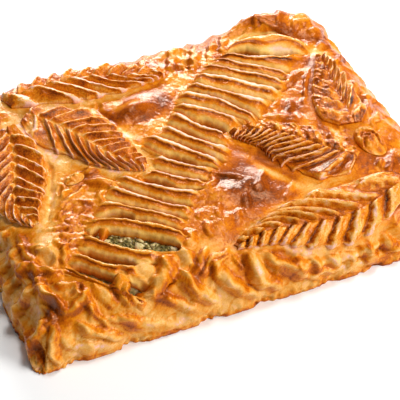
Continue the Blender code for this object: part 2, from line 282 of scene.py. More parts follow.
# A place in runs from the middle, given as x and y on the top, or on a wall as the position along it and the
# run up from its foot
def placeFlat(side, a, b):
    if side == "front":
        return toFlat(a, pie["length"]), b - edgeRun(pie["width"])
    if side == "left":
        return b - edgeRun(pie["length"]), toFlat(a, pie["width"])
    return toFlat(a, pie["length"]), toFlat(b, pie["width"])


def upWall(p, q):  # the run up from the foot of the nearest wall
    return np.minimum(edgeRun(pie["length"]) - np.abs(p), edgeRun(pie["width"]) - np.abs(q))


# Folds of the dough: side, the line of the crest, half width, height, and which flank is the steep one:
# -1 is the right flank along the line and 1 the left
folds = (
    # The pinched front left corner and the knot above it
    ("front", ((-134, 32), (-138, 22), (-139, 13), (-136, 4)), 5.0, 4.4, -0.2),
    ("front", ((-146, 44), (-148, 32), (-149, 18)), 4.0, 2.4, 0.2),
    ("front", ((-134, 58), (-131, 50), (-126, 42), (-125, 34)), 4.2, 5.0, 0.3),
    ("front", ((-125, 34), (-120, 34), (-114, 38), (-108, 41)), 2.8, 2.8, 0.3),
    ("front", ((-124, 51), (-118, 51), (-113, 46)), 3.2, 3.0, 0.0),
    ("front", ((-135, 62), (-126, 60), (-118, 57)), 3.4, 2.0, 0.0),
    ("front", ((-111, 38), (-109, 30), (-112, 24)), 3.0, 2.2, 0.0),
    ("front", ((-104, 44), (-100, 36), (-95, 28)), 4.6, 2.6, 0.0),
    ("front", ((-122, 28), (-117, 22), (-110, 18), (-103, 13), (-94, 8)), 3.6, 3.0, 0.3),
    ("front", ((-110, 32), (-107, 24), (-104, 18)), 2.6, 2.6, 0.0),
    ("front", ((-104, 23), (-97, 22), (-90, 19), (-84, 17)), 2.8, 2.6, 0.3),
    ("front", ((-132, 22), (-126, 14), (-115, 9), (-100, 6)), 4.0, 2.2, 0.3),
    ("front", ((-95, 36), (-90, 41), (-86, 38), (-83, 30), (-80, 24)), 4.8, 4.4, 0.0),
    ("front", ((-92, 37), (-90, 31), (-88, 26)), 3.0, 2.6, 0.0),
    ("front", ((-76, 28), (-66, 35), (-60, 42), (-54, 50)), 6.0, 4.6, 0.4),
    ("front", ((-95, 22), (-82, 13), (-64, 8), (-45, 6)), 4.6, 2.0, 0.3),
    # The folds down the front wall
    ("front", ((-72, 27), (-62, 25), (-55, 18), (-47, 12)), 4.0, 3.0, 0.4),
    ("front", ((-56, 34), (-54, 29), (-50, 24)), 3.2, 2.2, 0.0),
    ("front", ((-52, 38), (-47, 26), (-40, 18), (-33, 13)), 5.0, 5.0, 0.15),
    ("front", ((-48, 52), (-44, 44), (-42, 36)), 4.6, 2.4, 0.0),
    ("front", ((-30, 35), (-27, 27), (-23, 21), (-16, 15), (-8, 9)), 5.4, 5.2, 0.15),
    ("front", ((-4, 35), (-7, 27), (-4, 19), (2, 14), (10, 10)), 5.6, 5.2, 0.15),
    ("front", ((4, 31), (11, 24), (20, 17), (31, 11), (46, 10)), 5.4, 4.6, 0.15),
    ("front", ((20, 25), (22, 21), (28, 16)), 3.0, 1.6, 0.0),
    ("front", ((30, 23), (32, 18), (38, 14)), 3.2, 2.0, 0.0),
    ("front", ((42, 20), (44, 15), (50, 11)), 3.6, 2.4, 0.0),
    ("front", ((53, 20), (55, 14), (62, 9)), 4.2, 2.8, 0.0),
    ("front", ((67, 20), (69, 13), (76, 8)), 4.6, 3.2, 0.0),
    ("front", ((83, 20), (85, 13), (92, 8)), 5.0, 3.4, 0.0),
    ("front", ((100, 20), (102, 13), (110, 8)), 5.4, 3.4, 0.0),
    ("front", ((118, 24), (120, 14), (128, 8)), 5.6, 3.4, 0.0),
    ("front", ((38, 12), (56, 8), (78, 8), (98, 12)), 4.6, 2.0, 0.3),
    ("front", ((6, 27), (18, 21), (33, 18), (52, 16), (72, 16), (90, 17)), 3.2, 2.6, 0.3),
    ("front", ((-44, 30), (-38, 38), (-30, 48)), 3.0, 2.6, 0.2),
    ("front", ((-41, 29), (-31, 38), (-19, 41)), 2.8, 2.8, 0.2),
    ("front", ((-34, 32), (-27, 34), (-19, 37)), 2.2, 2.0, 0.0),
    ("front", ((-16, 38), (-14, 30), (-12, 22)), 2.4, 1.2, 0.0),
    ("front", ((-38, 50), (-35, 58), (-33, 64)), 4.0, 1.8, 0.0),
    ("front", ((-24, 52), (-22, 60), (-23, 66)), 3.0, 1.4, 0.0),
    # The left wall
    ("left", ((-25, 37), (-26, 26), (-27, 13), (-28, 4)), 4.0, 3.4, 0.3),
    ("left", ((-42, 36), (-42, 26), (-43, 14), (-44, 4)), 4.2, 3.6, 0.3),
    ("left", ((-58, 35), (-57, 24), (-58, 12), (-58, 3)), 4.4, 3.8, 0.3),
    ("left", ((-75, 34), (-74, 22), (-75, 10), (-75, 3)), 4.6, 4.0, 0.3),
    ("left", ((-97, 36), (-99, 23), (-101, 12), (-102, 3)), 5.0, 4.0, 0.3),
    ("left", ((-30, 38), (-42, 36), (-52, 36), (-62, 38)), 3.2, 2.0, 0.0),
    ("left", ((-62, 37), (-72, 35), (-84, 37), (-94, 40)), 3.4, 2.2, 0.0),
    # The long flap edge that runs into the first strip
    ("top", ((-140, -44), (-136, -52), (-132, -60), (-125, -67), (-116, -72)), 4.0, 3.2, 0.4),
    ("top", ((-130, -40), (-126, -46), (-121, -48)), 2.4, 1.6, 0.0),
    ("top", ((-126, -50), (-121, -53), (-117, -52)), 2.4, 1.6, 0.0),
    ("top", ((-135, -38), (-131, -43)), 2.2, 1.4, 0.0),
    # Knots and little folds left of the band
    ("top", ((-111, -37), (-104, -38), (-98, -42)), 3.0, 2.0, 0.3),
    ("top", ((-109, -44), (-103, -47), (-98, -46)), 2.8, 2.2, 0.0),
    ("top", ((-115, -49), (-107, -53), (-99, -51)), 3.0, 2.6, 0.3),
    ("top", ((-114, -67), (-111, -59), (-108, -53)), 2.6, 2.0, 0.0),
    ("top", ((-96, -32), (-90, -38), (-83, -42)), 4.0, 2.0, 0.0),
    ("top", ((-101, -33), (-97, -38), (-94, -45)), 2.2, 1.4, 0.0),
    ("top", ((-97, -22), (-88, -15), (-79, -10)), 2.4, 2.0, 0.4),
    ("top", ((-97, -15), (-88, -10), (-80, -7)), 2.0, 1.8, 0.4),
    ("top", ((-89, -21), (-84, -24), (-78, -27)), 2.2, 1.9, 0.3),
    ("top", ((-105, -30), (-97, -25), (-89, -20)), 2.2, 1.6, 0.3),
    ("top", ((-104, -25), (-98, -21), (-92, -17)), 1.8, 1.3, 0.3),
    ("top", ((-92, -23), (-88, -28), (-85, -34)), 4.6, 2.0, 0.0),
    ("top", ((-80, 1), (-75, -2), (-70, 0), (-64, 2)), 3.6, 2.4, 0.0),
    ("top", ((-77, -8), (-70, -12), (-64, -16), (-59, -21)), 4.2, 2.0, 0.0),
    ("top", ((-79, -26), (-74, -24), (-71, -19)), 2.6, 1.4, 0.0),
    # The glossy dough right of the band
    ("top", ((-35, -57), (-29, -53), (-22, -48), (-13, -45), (-6, -39), (0, -32)), 3.2, 2.2, 0.3),
    ("top", ((-2, -33), (2, -32), (8, -36), (15, -41)), 3.0, 2.4, 0.3),
    ("top", ((18, -57), (24, -49), (30, -40)), 3.8, 2.0, 0.3),
    ("top", ((12, -53), (15, -48), (16, -43)), 3.6, 1.4, 0.0),
    ("top", ((5, -70), (8, -61), (11, -55)), 3.2, 1.8, 0.0),
    ("top", ((-4, -76), (0, -69), (2, -64)), 3.0, 1.7, 0.0),
    ("top", ((-13, -68), (-10, -61), (-9, -54)), 2.8, 1.6, 0.0),
    ("top", ((-26, -64), (-21, -58)), 2.8, 1.3, 0.0),
    ("top", ((33, -71), (37, -64), (43, -57)), 2.8, 1.6, 0.0),
    ("top", ((-18, -44), (-10, -42), (-5, -37)), 3.4, 1.6, 0.0),
    ("top", ((43, 17), (50, 12), (58, 10)), 2.6, 1.7, 0.0),
    ("top", ((51, 4), (60, 0), (73, -3)), 3.0, 2.2, -0.4),
    ("top", ((58, -3), (64, -7), (72, -9)), 4.5, 1.6, 0.0),
    ("top", ((66, 15), (63, 8), (60, 3)), 3.0, 1.6, 0.0),
    ("top", ((69, 2), (72, 8), (78, 15)), 3.2, 1.9, 0.3),
    ("top", ((74, 26), (80, 29), (88, 35), (96, 38)), 4.2, 2.0, 0.0),
    ("top", ((84, 8), (92, 20), (100, 33), (112, 43)), 2.8, 1.6, 0.0),
    # The rim at the back and the back right corner
    ("top", ((-64, 99), (-56, 101), (-50, 105)), 3.4, 1.2, 0.0),
    ("top", ((-44, 92), (-38, 97), (-33, 104)), 3.6, 1.3, 0.3),
    ("top", ((-31, 89), (-25, 96), (-20, 103)), 4.0, 1.4, 0.3),
    ("top", ((-4, 80), (0, 88), (6, 98)), 3.6, 1.5, 0.3),
    ("top", ((12, 66), (16, 76), (22, 88), (30, 99)), 4.6, 1.9, 0.3),
    ("top", ((27, 66), (33, 76), (39, 88), (44, 97)), 4.4, 1.8, 0.3),
    ("top", ((43, 72), (50, 84), (56, 95)), 4.0, 1.6, 0.3),
    ("top", ((56, 76), (59, 84), (64, 95)), 3.8, 1.8, 0.3),
    ("top", ((70, 86), (80, 89), (92, 88), (104, 82)), 2.8, 1.7, 0.3),
    ("top", ((66, 94), (78, 97), (92, 96), (106, 92)), 3.4, 1.4, 0.3),
    ("top", ((84, 84), (92, 94), (97, 103)), 2.8, 1.5, 0.0),
    ("top", ((102, 86), (108, 94), (117, 102)), 3.0, 1.6, 0.3),
    ("top", ((110, 80), (118, 84), (128, 85)), 3.0, 1.6, 0.3),
    ("top", ((114, 84), (122, 90), (131, 96)), 5.0, 1.4, 0.3),
    ("top", ((122, 72), (130, 78), (137, 82)), 4.6, 1.7, 0.3),
    ("top", ((120, 58), (128, 64), (136, 67)), 4.2, 1.6, 0.3),
    ("top", ((124, 40), (131, 46), (137, 50)), 4.2, 1.4, 0.3),
    # The folds right of the right leaves
    ("top", ((114, -12), (119, -2), (124, 10), (129, 20)), 3.4, 2.2, 0.3),
    ("top", ((119, -16), (125, -6), (130, 4)), 3.0, 1.8, 0.3),
    ("top", ((116, -28), (122, -22), (129, -14)), 3.0, 1.8, 0.0),
    ("top", ((82, -14), (86, -24), (89, -36), (90, -46)), 2.2, 1.8, 0.0),
    ("top", ((84, -10), (92, -14), (97, -20)), 2.2, 2.0, 0.0),
    ("top", ((86, -3), (92, -5), (98, -9)), 2.2, 1.8, 0.0),
    ("top", ((95, -20), (96, -25), (95, -30)), 2.6, 2.4, 0.0),
    ("top", ((89, -17), (91, -25), (92, -33), (92, -39)), 2.0, 2.2, 0.3),
    ("top", ((90, -41), (93, -35), (97, -31), (101, -29)), 2.0, 2.8, 0.3),
    ("top", ((106, -57), (102, -64), (98, -71)), 2.6, 2.2, 0.3),
    ("top", ((112, -62), (108, -68), (105, -74)), 2.6, 2.0, 0.3),
    ("top", ((96, -56), (93, -62), (90, -67)), 2.4, 1.8, 0.3),
    ("top", ((90, -58), (98, -54), (105, -48)), 4.4, 1.4, 0.0),
    ("top", ((96, -66), (106, -64), (116, -58)), 5.0, 1.4, 0.0),
    ("top", ((118, -52), (121, -62), (122, -74)), 4.0, 1.4, 0.0),
    ("top", ((56, -64), (68, -62), (82, -58)), 2.2, 1.3, 0.3),
    ("top", ((62, -69), (74, -67), (88, -62)), 2.2, 1.2, 0.3),
    # Creases, where dough meets dough, painted dark inside as shade
    ("top", ((-97, 30), (-94, 18), (-98, 4), (-104, -14), (-112, -30)), 4.0, -1.4, 0.0),
    ("top", ((-45, 66), (-44, 52), (-42, 38), (-40, 22), (-36, 8)), 2.4, -1.6, 0.0),
    ("top", ((102, -14), (90, -22), (88, -34), (92, -46)), 2.6, -1.6, 0.0),
    ("front", ((-16, 36), (-6, 37), (4, 34), (14, 29), (26, 21)), 2.4, -1.8, 0.0),
)

# Round hollows pressed into the dough: side, centre, half sizes, depth and turn in degrees
dents = (
    ("left", (-34, 24), (6.5, 12), 2.8, 0),
    ("left", (-50, 22), (6.5, 13), 3.2, 0),
    ("left", (-66, 21), (7, 13), 3.4, 0),
    ("left", (-87, 20), (9.5, 14), 4.2, 0),
    ("left", (-108, 17), (4.5, 14), 3.0, 0),
    ("front", (-136, 39), (3.5, 6), 2.6, 20),
    ("front", (-118, 44), (3, 3), 1.8, 0),
    ("front", (-112, 45), (2, 4), 1.8, 0),
    ("front", (-77, 34), (3.2, 6.5), 6.0, 35),
    ("front", (-37, 25), (2.6, 6), 1.4, -30),
    ("front", (4, 22), (2.6, 7), 1.8, 25),
    ("top", (-123, -59), (6, 6), 2.2, 0),
    ("top", (-84, -6), (6, 3.4), 2.0, 12),
    ("top", (-95, -9), (1.8, 5), 2.4, -25),
    ("top", (-104, -42), (2.4, 2.2), 1.4, 0),
    ("top", (29, 75), (3, 5), 1.8, 20),
    ("top", (22, 72), (2.6, 4), 1.4, 0),
    ("top", (31, 88), (3, 6), 1.8, -25),
    ("top", (52, 69), (4, 6), 1.4, -20),
)

# Where it baked darker, or stayed pale below zero, among them painted shade in hollows and under a knot and
# painted highlights on the blister: side, centre, half sizes, how much and turn in degrees
tints = (
    ("front", (-145, 17), (3, 12), 0.6, 0),
    # painted shadow under the knot
    ("front", (-134, 37), (4, 7), 0.36, 40),
    ("front", (-116, 32), (6, 2), 0.34, 10),
    ("front", (-111, 46), (2, 4), 0.4, 20),
    ("left", (-108, 15), (6, 13), 0.42, 0),
    ("left", (-93, 11), (6, 8), 0.4, 0),
    ("left", (-94, 38), (6, 5), 0.36, 0),
    # painted shade along the flanks of the left wall's pleats
    ("left", (-79, 20), (2, 10), 0.16, 0),
    ("left", (-72.5, 22), (1.5, 9), 0.4, 0),
    ("left", (-56, 27), (1.5, 8), 0.36, 0),
    ("left", (-39.5, 26), (1.5, 7), 0.3, 0),
    ("left", (-68, 28), (4, 5), -0.2, 0),
    ("left", (-52, 28), (3, 5), -0.2, 0),
    ("left", (-35, 26), (3, 5), -0.22, 0),
    ("left", (-88, 27), (5, 5), -0.2, 0),
    ("front", (-118, 48), (4, 3), -0.2, 0),
    ("front", (-99, 37), (5, 7), -0.2, 0),
    ("front", (-86, 14), (5, 5), 0.2, 0),
    ("front", (-127, 27), (9, 5), 0.26, -20),
    ("front", (-68, 24), (9, 8), 0.26, 20),
    ("front", (-95, 36), (3, 6), 0.2, -20),
    ("front", (-56, 22), (6, 2), 0.2, -40),
    ("front", (-13, 26), (4, 9), 0.2, -25),
    ("front", (-39, 34), (2, 8), 0.18, -35),
    ("front", (2, 24), (1.6, 8), 0.24, 25),
    ("front", (8, 15), (14, 3), 0.16, -15),
    ("front", (-47, 43), (4, 8), -0.34, 0),
    ("front", (-72, 40), (5, 6), -0.3, 30),
    ("front", (-39, 22), (3, 7), -0.24, 35),
    ("front", (50, 16), (14, 5), -0.2, 0),
    ("top", (-122, -58), (7, 8), -0.16, 0),
    ("top", (-120, -44), (7, 4), -0.2, 20),
    ("top", (-89, 20), (5, 15), -0.3, 20),
    ("top", (-102, -14), (3, 22), -0.3, -22),
    ("top", (-98, 45), (3, 12), -0.2, 0),
    ("top", (-44, -4), (3, 14), -0.16, 30),
    ("top", (-56, 66), (16, 3), -0.16, -8),
    ("top", (-43, 45), (3, 14), -0.2, 0),
    ("top", (-58, -7), (9, 5), -0.14, -20),
    ("top", (-85, -27), (5, 7), 0.2, 0),
    ("top", (-43, 45), (6, 9), 0.4, 20),
    ("top", (-36, 38), (9, 6), 0.5, 25),
    ("top", (-21, 33), (11, 4.5), 0.5, 10),
    ("top", (-2, 43), (6, 8), 0.36, 0),
    # painted highlight on the blister's top
    ("top", (-25, 46), (9, 4.5), -0.36, 20),
    # painted reflection on the smooth patch before the blister
    ("top", (-40, 22), (13, 4), -0.3, -20),
    ("top", (2, 60), (14, 12), 0.14, 0),
    ("top", (8, -60), (36, 24), 0.08, 0),
    ("top", (108, 92), (26, 10), 0.14, -15),
    ("top", (84, 89), (16, 8), -0.16, -6),
    ("top", (-98, -42), (15, 15), -0.16, 0),
    ("top", (110, 48), (6, 7), 0.3, 0),
    ("top", (104, -44), (12, 10), 0.16, 0),
    ("top", (100, -6), (16, 22), 0.16, 0),
    ("top", (120, 20), (8, 30), 0.12, 0),
    ("top", (118, 60), (12, 8), 0.14, 0),
    ("top", (20, -33), (7, 6), 0.3, 0),
    ("top", (3, -45), (4, 10), 0.36, 0),
    ("top", (23, -62), (7, 5), 0.3, 0),
    ("top", (10, -62), (5, 6), 0.2, 0),
    ("top", (30, -38), (3, 16), -0.2, 20),
    ("top", (37, -48), (3, 16), -0.44, 32),
    ("top", (40, -61), (8, 4), -0.34, 20),
    ("top", (100, -55), (13, 9), 0.24, 10),
    ("top", (113, -70), (12, 10), 0.16, 0),
    ("top", (84, -16), (4, 8), 0.3, 0),
    ("top", (92, -26), (3, 5), -0.3, 0),
    ("top", (96, -2), (4, 2.5), 0.24, -20),
    ("top", (122, 34), (4, 20), -0.26, 0),
    ("top", (124, -2), (3, 10), 0.3, -25),
    ("top", (118, 57), (6, 5), -0.24, 0),
    ("top", (124, 86), (7, 6), -0.2, 0),
    ("top", (90, -27), (2.4, 12), -0.3, 8),
    ("top", (100, -64), (14, 9), 0.1, 0),
    ("top", (100, 22), (14, 26), 0.2, 0),
    ("top", (80, 10), (10, 12), 0.16, 0),
    ("top", (126, 66), (5, 3), 0.36, -30),
    ("top", (70, -64), (14, 3), -0.2, 15),
    ("top", (66, -6), (10, 5), 0.16, -10),
    ("top", (71, 5), (2.5, 5), 0.2, -20),
    ("top", (111, 77), (20, 5), 0.3, -36),
    ("top", (98, 79), (18, 5), 0.14, -30),
    ("top", (87, 57), (12, 3), 0.3, -27),
    ("top", (95, 68), (14, 6), -0.3, -30),
    ("top", (64, 68), (4, 7), 0.1, 20),
    ("top", (53, 69), (5, 8), 0.24, -20),
    ("top", (48, 74), (3, 4), 0.2, 0),
    ("top", (20, 72), (4, 5), 0.24, 0),
    ("top", (5, 83), (6, 4), 0.2, 0),
    ("top", (90, 33), (5, 8), 0.2, -30),
    ("top", (105, -10), (8, 14), 0.1, 0),
)

# Across a fold, 0 is its crest and 1 its foot. Each row of painted shade: place, width and how much darker it
# is painted
foldForm = {
    "reach": 1.5,  # how far out it is worked out, in half widths
    "endWidth": 0.45,  # width and height at its ends, as shares of those in its middle
    "endHeight": 0.15,
    "lumpy": 0.3,
    "paintedFlankAndFootShade": ((0.62, 0.26, 0.22), (1.04, 0.13, 0.3)),
    "paintedCreaseShade": ((0.0, 0.4, 0.4),),
    "paintedCrestHighlight": (0.0, 0.3),
}


def addFold(lift, paintedShadeAndHighlight, p, q, fold):
    side, points, half, height, lean = fold
    line, _ = curve(np.stack(placeFlat(side, *np.array(points, float).T), 1), 48)
    heading = headingOf(line)
    reach = half * foldForm["reach"]
    low, high = line.min(axis=0) - reach, line.max(axis=0) + reach
    near = np.flatnonzero((p > low[0]) & (p < high[0]) & (q > low[1]) & (q < high[1]))
    if not len(near):
        return
    offP, offQ = p[near, None] - line[None, :, 0], q[near, None] - line[None, :, 1]
    best = np.argmin(offP**2 + offQ**2, axis=1)
    each = np.arange(len(near))
    offP, offQ = offP[each, best], offQ[each, best]
    across = heading[best, 0] * offQ - heading[best, 1] * offP
    ahead = heading[best, 0] * offP + heading[best, 1] * offQ
    atEnd = ((best == 0) & (ahead < 0)) | ((best == len(line) - 1) & (ahead > 0))
    distance = np.where(atEnd, np.hypot(offP, offQ), np.abs(across))
    along = (best + ahead / np.hypot(*(line[1] - line[0]))) / (len(line) - 1)
    taper = np.sqrt(np.clip(1 - np.abs(2 * along - 1) ** 3, 0.0, 1.0))
    wide = foldForm["endWidth"] + (1 - foldForm["endWidth"]) * taper
    tall = foldForm["endHeight"] + (1 - foldForm["endHeight"]) * taper
    t = distance / (half * (1 - lean * np.sign(across)) * wide)
    lumpy = 1.06 + foldForm["lumpy"] * waves(p[near], q[near], 9, 44)
    lift[near] += height * tall * lumpy * np.clip(1 - t**2, 0, 1)
    # Painted light and shade: the crest is painted light as a highlight, its flanks and the crease at its
    # foot are painted dark where shade falls, and a sunken crease is painted dark all over
    rows = foldForm["paintedCreaseShade"] if height < 0 else foldForm["paintedFlankAndFootShade"]
    paintedFoldShade = sum(amount * peak(t, place, width) for place, width, amount in rows)
    paintedShadeAndHighlight[near] += min(abs(height) / 3, 1.0) * taper * (paintedFoldShade - 0.1 * peak(t, *foldForm["paintedCrestHighlight"]))


def addDent(lift, p, q, dent):
    side, centre, half, depth, turn = dent
    t = ellipseDistance(p, q, placeFlat(side, *np.array(centre, float)), half, turn)
    lift -= depth * np.clip(1 - t**2.5, 0, 1) ** 1.5
    lift += 0.3 * depth * peak(t, 1.12, 0.2)  # the dough that was pushed up round it


# How much darker the dough is at each place, from baking and from painted shade and highlights
def tintAt(p, q):
    total = np.zeros_like(p)
    for side, centre, half, amount, turn in tints:
        t = ellipseDistance(p, q, placeFlat(side, *np.array(centre, float)), half, turn)
        total = total + amount * np.exp(-1.1 * t**2.4)
    return total


# Narrow crests with round hollows between them, from -1 to 0
def pleatShape(turns):
    t = np.abs((turns + 0.5) % 1.0 - 0.5) * 2
    return np.sqrt(t**3 + 0.004) - 1.0


pleats = {  # in millimetres, along the wall or up from its foot
    "side": 17.7,  # from crest to crest on the left and right walls
    "front": 19.0,  # and on the front and back walls
    "depth": 5.2,
    "proud": 0.6,  # the share of their depth that stands out of the smooth wall
    "sway": (4.0, 11.0),  # how far aside a crest sways on its way up, and how fast
    "ends": (7, 26, 42),  # where they are full grown, start to fade and are gone
    "lobe": 40.0,  # from scallop to scallop of the foot
    "lobeDepth": 3.6,
    "footHeight": 9,
    "crumbs": ((0.9, 6, 41), (0.7, 2.8, 42)),
}


def farWalls(x, y):  # 1 toward the back and right walls, 0 toward the front and left ones
    return np.maximum(smooth(-20, 20, y), smooth(60, 100, x))


# The even pleats of the walls, left out where the folds above are the real ones
def wallRelief(x, y, p, q):
    depthX, depthY = pie["length"] / 2 - np.abs(x), pie["width"] / 2 - np.abs(y)
    onSide = smooth(-5, 5, depthY - depthX)
    up = upWall(p, q)
    sway = pleats["sway"][0] * np.sin(up / pleats["sway"][1])
    uneven = 3.0 * np.sin(2 * math.pi * (p - q) / 83) + 2.0 * np.sin(2 * math.pi * (p + 1.3 * q) / 47)
    side = pleatShape((q + 18 + sway + uneven) / pleats["side"] + 0.5)
    front = pleatShape((p + 35 - sway * np.sign(y) + uneven) / pleats["front"] + 0.5)
    pleat = onSide * side + (1 - onSide) * front
    drawn = (1 - onSide) * smooth(-10, -30, y) * smooth(70, 50, x)
    drawn = np.maximum(drawn, onSide * smooth(-10, -24, y) * smooth(-100, -130, x))
    grown, fading, gone = pleats["ends"]
    height = smooth(0, grown, up) * smooth(gone, fading, up) * (1 - drawn)
    lobeTurn = math.pi * (onSide * (y + 10) + (1 - onSide) * (x + 122)) / pleats["lobe"]
    lobe = 0.3 - np.abs(np.cos(lobeTurn + 0.5 * waves(p, q, 60, 40))) ** 7
    foot = pleats["lobeDepth"] * lobe + layered(p, q, *pleats["crumbs"])
    foot = foot * smooth(pleats["footHeight"], 0, up)
    far = farWalls(x, y)  # shallower there
    return pleats["depth"] * (1 - 0.5 * far) * (pleat + pleats["proud"] - 0.42 * far) * height + foot


# Stretches of taut, shiny dough without small wrinkles: centre, half sizes and turn in degrees
calmDough = (
    ((24, -40), (24, 28), 20),
    ((-16, 46), (16, 12), 15),
)

# Stretches where the folds are soft and low
softDough = (
    ((8, -58), (38, 26), 0),
    ((-98, -42), (16, 20), 0),
    ((66, 4), (18, 14), 0),
)

crumpledDough = ((-98, -42), (17, 20), 0)  # small sharp wrinkles

# The skin of the dough, in millimetres; a row of three is the height of an unevenness, its size and its seed
doughSkin = {
    "hills": (0.5, 23, 3),
    "stray": 1.3,  # how far a fold strays from its line
    "bend": 2.5,  # how far the crumples bend
    "crumples": (0.8, 0.55),  # coarse and close ones
    "grit": (0.16, 3.2, 6),
    "wrinkles": 1.1,
    "streaks": 0.22,  # where the wall was pulled down
    "byLeaves": ((0.4, 6, 14), (0.16, 2.6, 15)),
    "softFolds": 0.5,  # how much lower folds are in soft dough, and how much less they shade it
    "softPaintedShade": 0.6,
}

# How far the dough is baked, 0 for raw and 1 for burnt, and what each place adds to that, painted shade in
# creases among it
baking = {
    "skin": 0.43,
    "patches": (0.11, 26, 8),
    "calm": 0.26,
    "soft": 0.1,
    "paintedCrumpleShade": 0.24,
    "crumples": 0.2,
    # painted shade in the creases of the fine wrinkles
    "wrinkles": 0.3,
    "byLeaves": -0.16,
    "wall": -0.21,
    "lowWall": -0.03,
    "farWalls": 0.18,
    "foot": (0.34, 0.26),  # along the foot, and how much more or less in patches
    "dark": 0.76,  # from here on it darkens more slowly
    "slowly": 0.3,
}


# The lift of the crust over its smooth form, and how far it is baked there, with painted shade and highlights
# added
def doughRelief(x, y):
    p, q = placeFlat("top", x, y)
    lift = wallRelief(x, y, p, q)
    paintedShadeAndHighlight = np.zeros_like(lift)
    strayP = p + doughSkin["stray"] * waves(p, q, 11, 45)
    strayQ = q + doughSkin["stray"] * waves(p, q, 11, 46)
    for fold in folds:
        addFold(lift, paintedShadeAndHighlight, strayP, strayQ, fold)
    soft = sum(smooth(1.2, 0.6, ellipseDistance(x, y, *place)) for place in softDough)
    lift, paintedShadeAndHighlight = lift * (1 - doughSkin["softFolds"] * soft), paintedShadeAndHighlight * (1 - doughSkin["softPaintedShade"] * soft)
    for centre, half, height, turn in swells:
        lift = lift + height * smooth(1.3, 0, ellipseDistance(x, y, centre, half, turn))
    for dent in dents:
        addDent(lift, p, q, dent)
    up = upWall(p, q)
    calm = sum(smooth(1.3, 0.7, ellipseDistance(x, y, *place)) for place in calmDough)
    # Crumpled skin: soft lumps that meet in sharp creases, which are painted darker as shade
    bendP = p + doughSkin["bend"] * waves(p, q, 16, 11)
    bendQ = q + doughSkin["bend"] * waves(p, q, 16, 12)
    coarse, close = np.abs(waves(bendP, bendQ, 30, 5)), np.abs(waves(bendP, bendQ, 13, 4))
    high, low = doughSkin["crumples"]
    crumple = high * np.sqrt(coarse + 0.01) + low * np.sqrt(close + 0.01)
    crumple = crumple + layered(p, q, doughSkin["grit"]) - 0.9
    crumpleCreaseShade = smooth(0.16, 0.0, coarse) + 0.7 * smooth(0.16, 0.0, close)
    uneven = (1 - 0.8 * calm) * (0.6 + 0.3 * smooth(50, 25, up))
    lift = lift + layered(p, q, doughSkin["hills"]) + crumple * uneven
    crumpled = smooth(1.3, 0.6, ellipseDistance(x, y, *crumpledDough))
    wrinkles = np.abs(waves(bendP, bendQ, 7, 13))
    lift = lift + doughSkin["wrinkles"] * (np.sqrt(wrinkles + 0.02) - 0.6) * crumpled
    pulled = waves(2.0 * p + 3.4 * q, 0.86 * p - 0.5 * q, 12, 9)
    lift = lift + doughSkin["streaks"] * pulled * smooth(36, 20, up)
    byLeaves = leafCover(x, y, 3.5) * smooth(60, 10, x)
    lift = lift + layered(p, q, *doughSkin["byLeaves"]) * byLeaves
    # the folds' painted shade on flanks and creases and painted highlight on crests go in here
    bakeWithPaintedLight = baking["skin"] + baking["byLeaves"] * byLeaves + np.clip(paintedShadeAndHighlight, -0.1, 0.4)
    bakeWithPaintedLight = bakeWithPaintedLight + layered(p, q, baking["patches"]) + tintAt(p, q)
    # painted shade in the creases of the fine wrinkles
    bakeWithPaintedLight = bakeWithPaintedLight + baking["wrinkles"] * smooth(0.25, 0.0, wrinkles) * crumpled
    bakeWithPaintedLight = bakeWithPaintedLight + 0.08 * waves(p, q, 6, 14) * byLeaves
    bakeWithPaintedLight = bakeWithPaintedLight + baking["calm"] * calm + baking["soft"] * soft
    # painted shade in the crumples' creases, and browning on their raised lumps
    bakeWithPaintedLight = bakeWithPaintedLight + (baking["paintedCrumpleShade"] * crumpleCreaseShade + baking["crumples"] * crumple) * uneven
    bakeWithPaintedLight = bakeWithPaintedLight + baking["wall"] * smooth(42, 18, up) + baking["lowWall"] * smooth(16, 8, up)
    bakeWithPaintedLight = bakeWithPaintedLight + baking["farWalls"] * farWalls(x, y) * smooth(46, 30, up)
    foot = smooth(4.5, 0.5, up) * (baking["foot"][0] + baking["foot"][1] * waves(p, q, 9, 43))
    bakeWithPaintedLight = bakeWithPaintedLight + foot.clip(0, 1)
    dark = baking["dark"]
    return lift, np.where(bakeWithPaintedLight > dark, dark + baking["slowly"] * (bakeWithPaintedLight - dark), bakeWithPaintedLight)


# 1 where nothing lies on the crust, 0 under the leaves and knobs
def bareDough(x, y):
    bare = 1 - leafCover(x, y, 1.5)
    for centre, half, _, turn in knobs.values():
        bare = bare * smooth(0.9, 1.5, ellipseDistance(x, y, centre, half, turn))
    return bare


# Eases points that would stand proud of the box of the solids back into it
def keepInside(points):
    for axis in (0, 1, 2):
        reach = cadBox[1][axis] / mm - boxEase
        over = np.clip(np.abs(points[:, axis]) - reach + boxEase, 0, None)
        eased = np.sign(points[:, axis]) * (reach - boxEase * np.exp(-over / boxEase))
        points[:, axis] = np.where(over > 0, eased, points[:, axis])
    return points


# Mesh helpers

# A grid made with one vertex for each column and row, and their numbers in the order of its vertices
def gridOf(columns, rows):
    bm = bmesh.new()
    bmesh.ops.create_grid(bm, x_segments=columns - 1, y_segments=rows - 1, size=0.5)
    flat = np.array([v.co[:2] for v in bm.verts]) + 0.5
    column = np.round(flat[:, 0] * (columns - 1)).astype(int)
    row = np.round(flat[:, 1] * (rows - 1)).astype(int)
    return bm, column, row


def onBorder(column, row):
    return (column == 0) | (row == 0) | (column == column.max()) | (row == row.max())


def openEdges(bm):
    return [e for e in bm.edges if e.is_boundary]


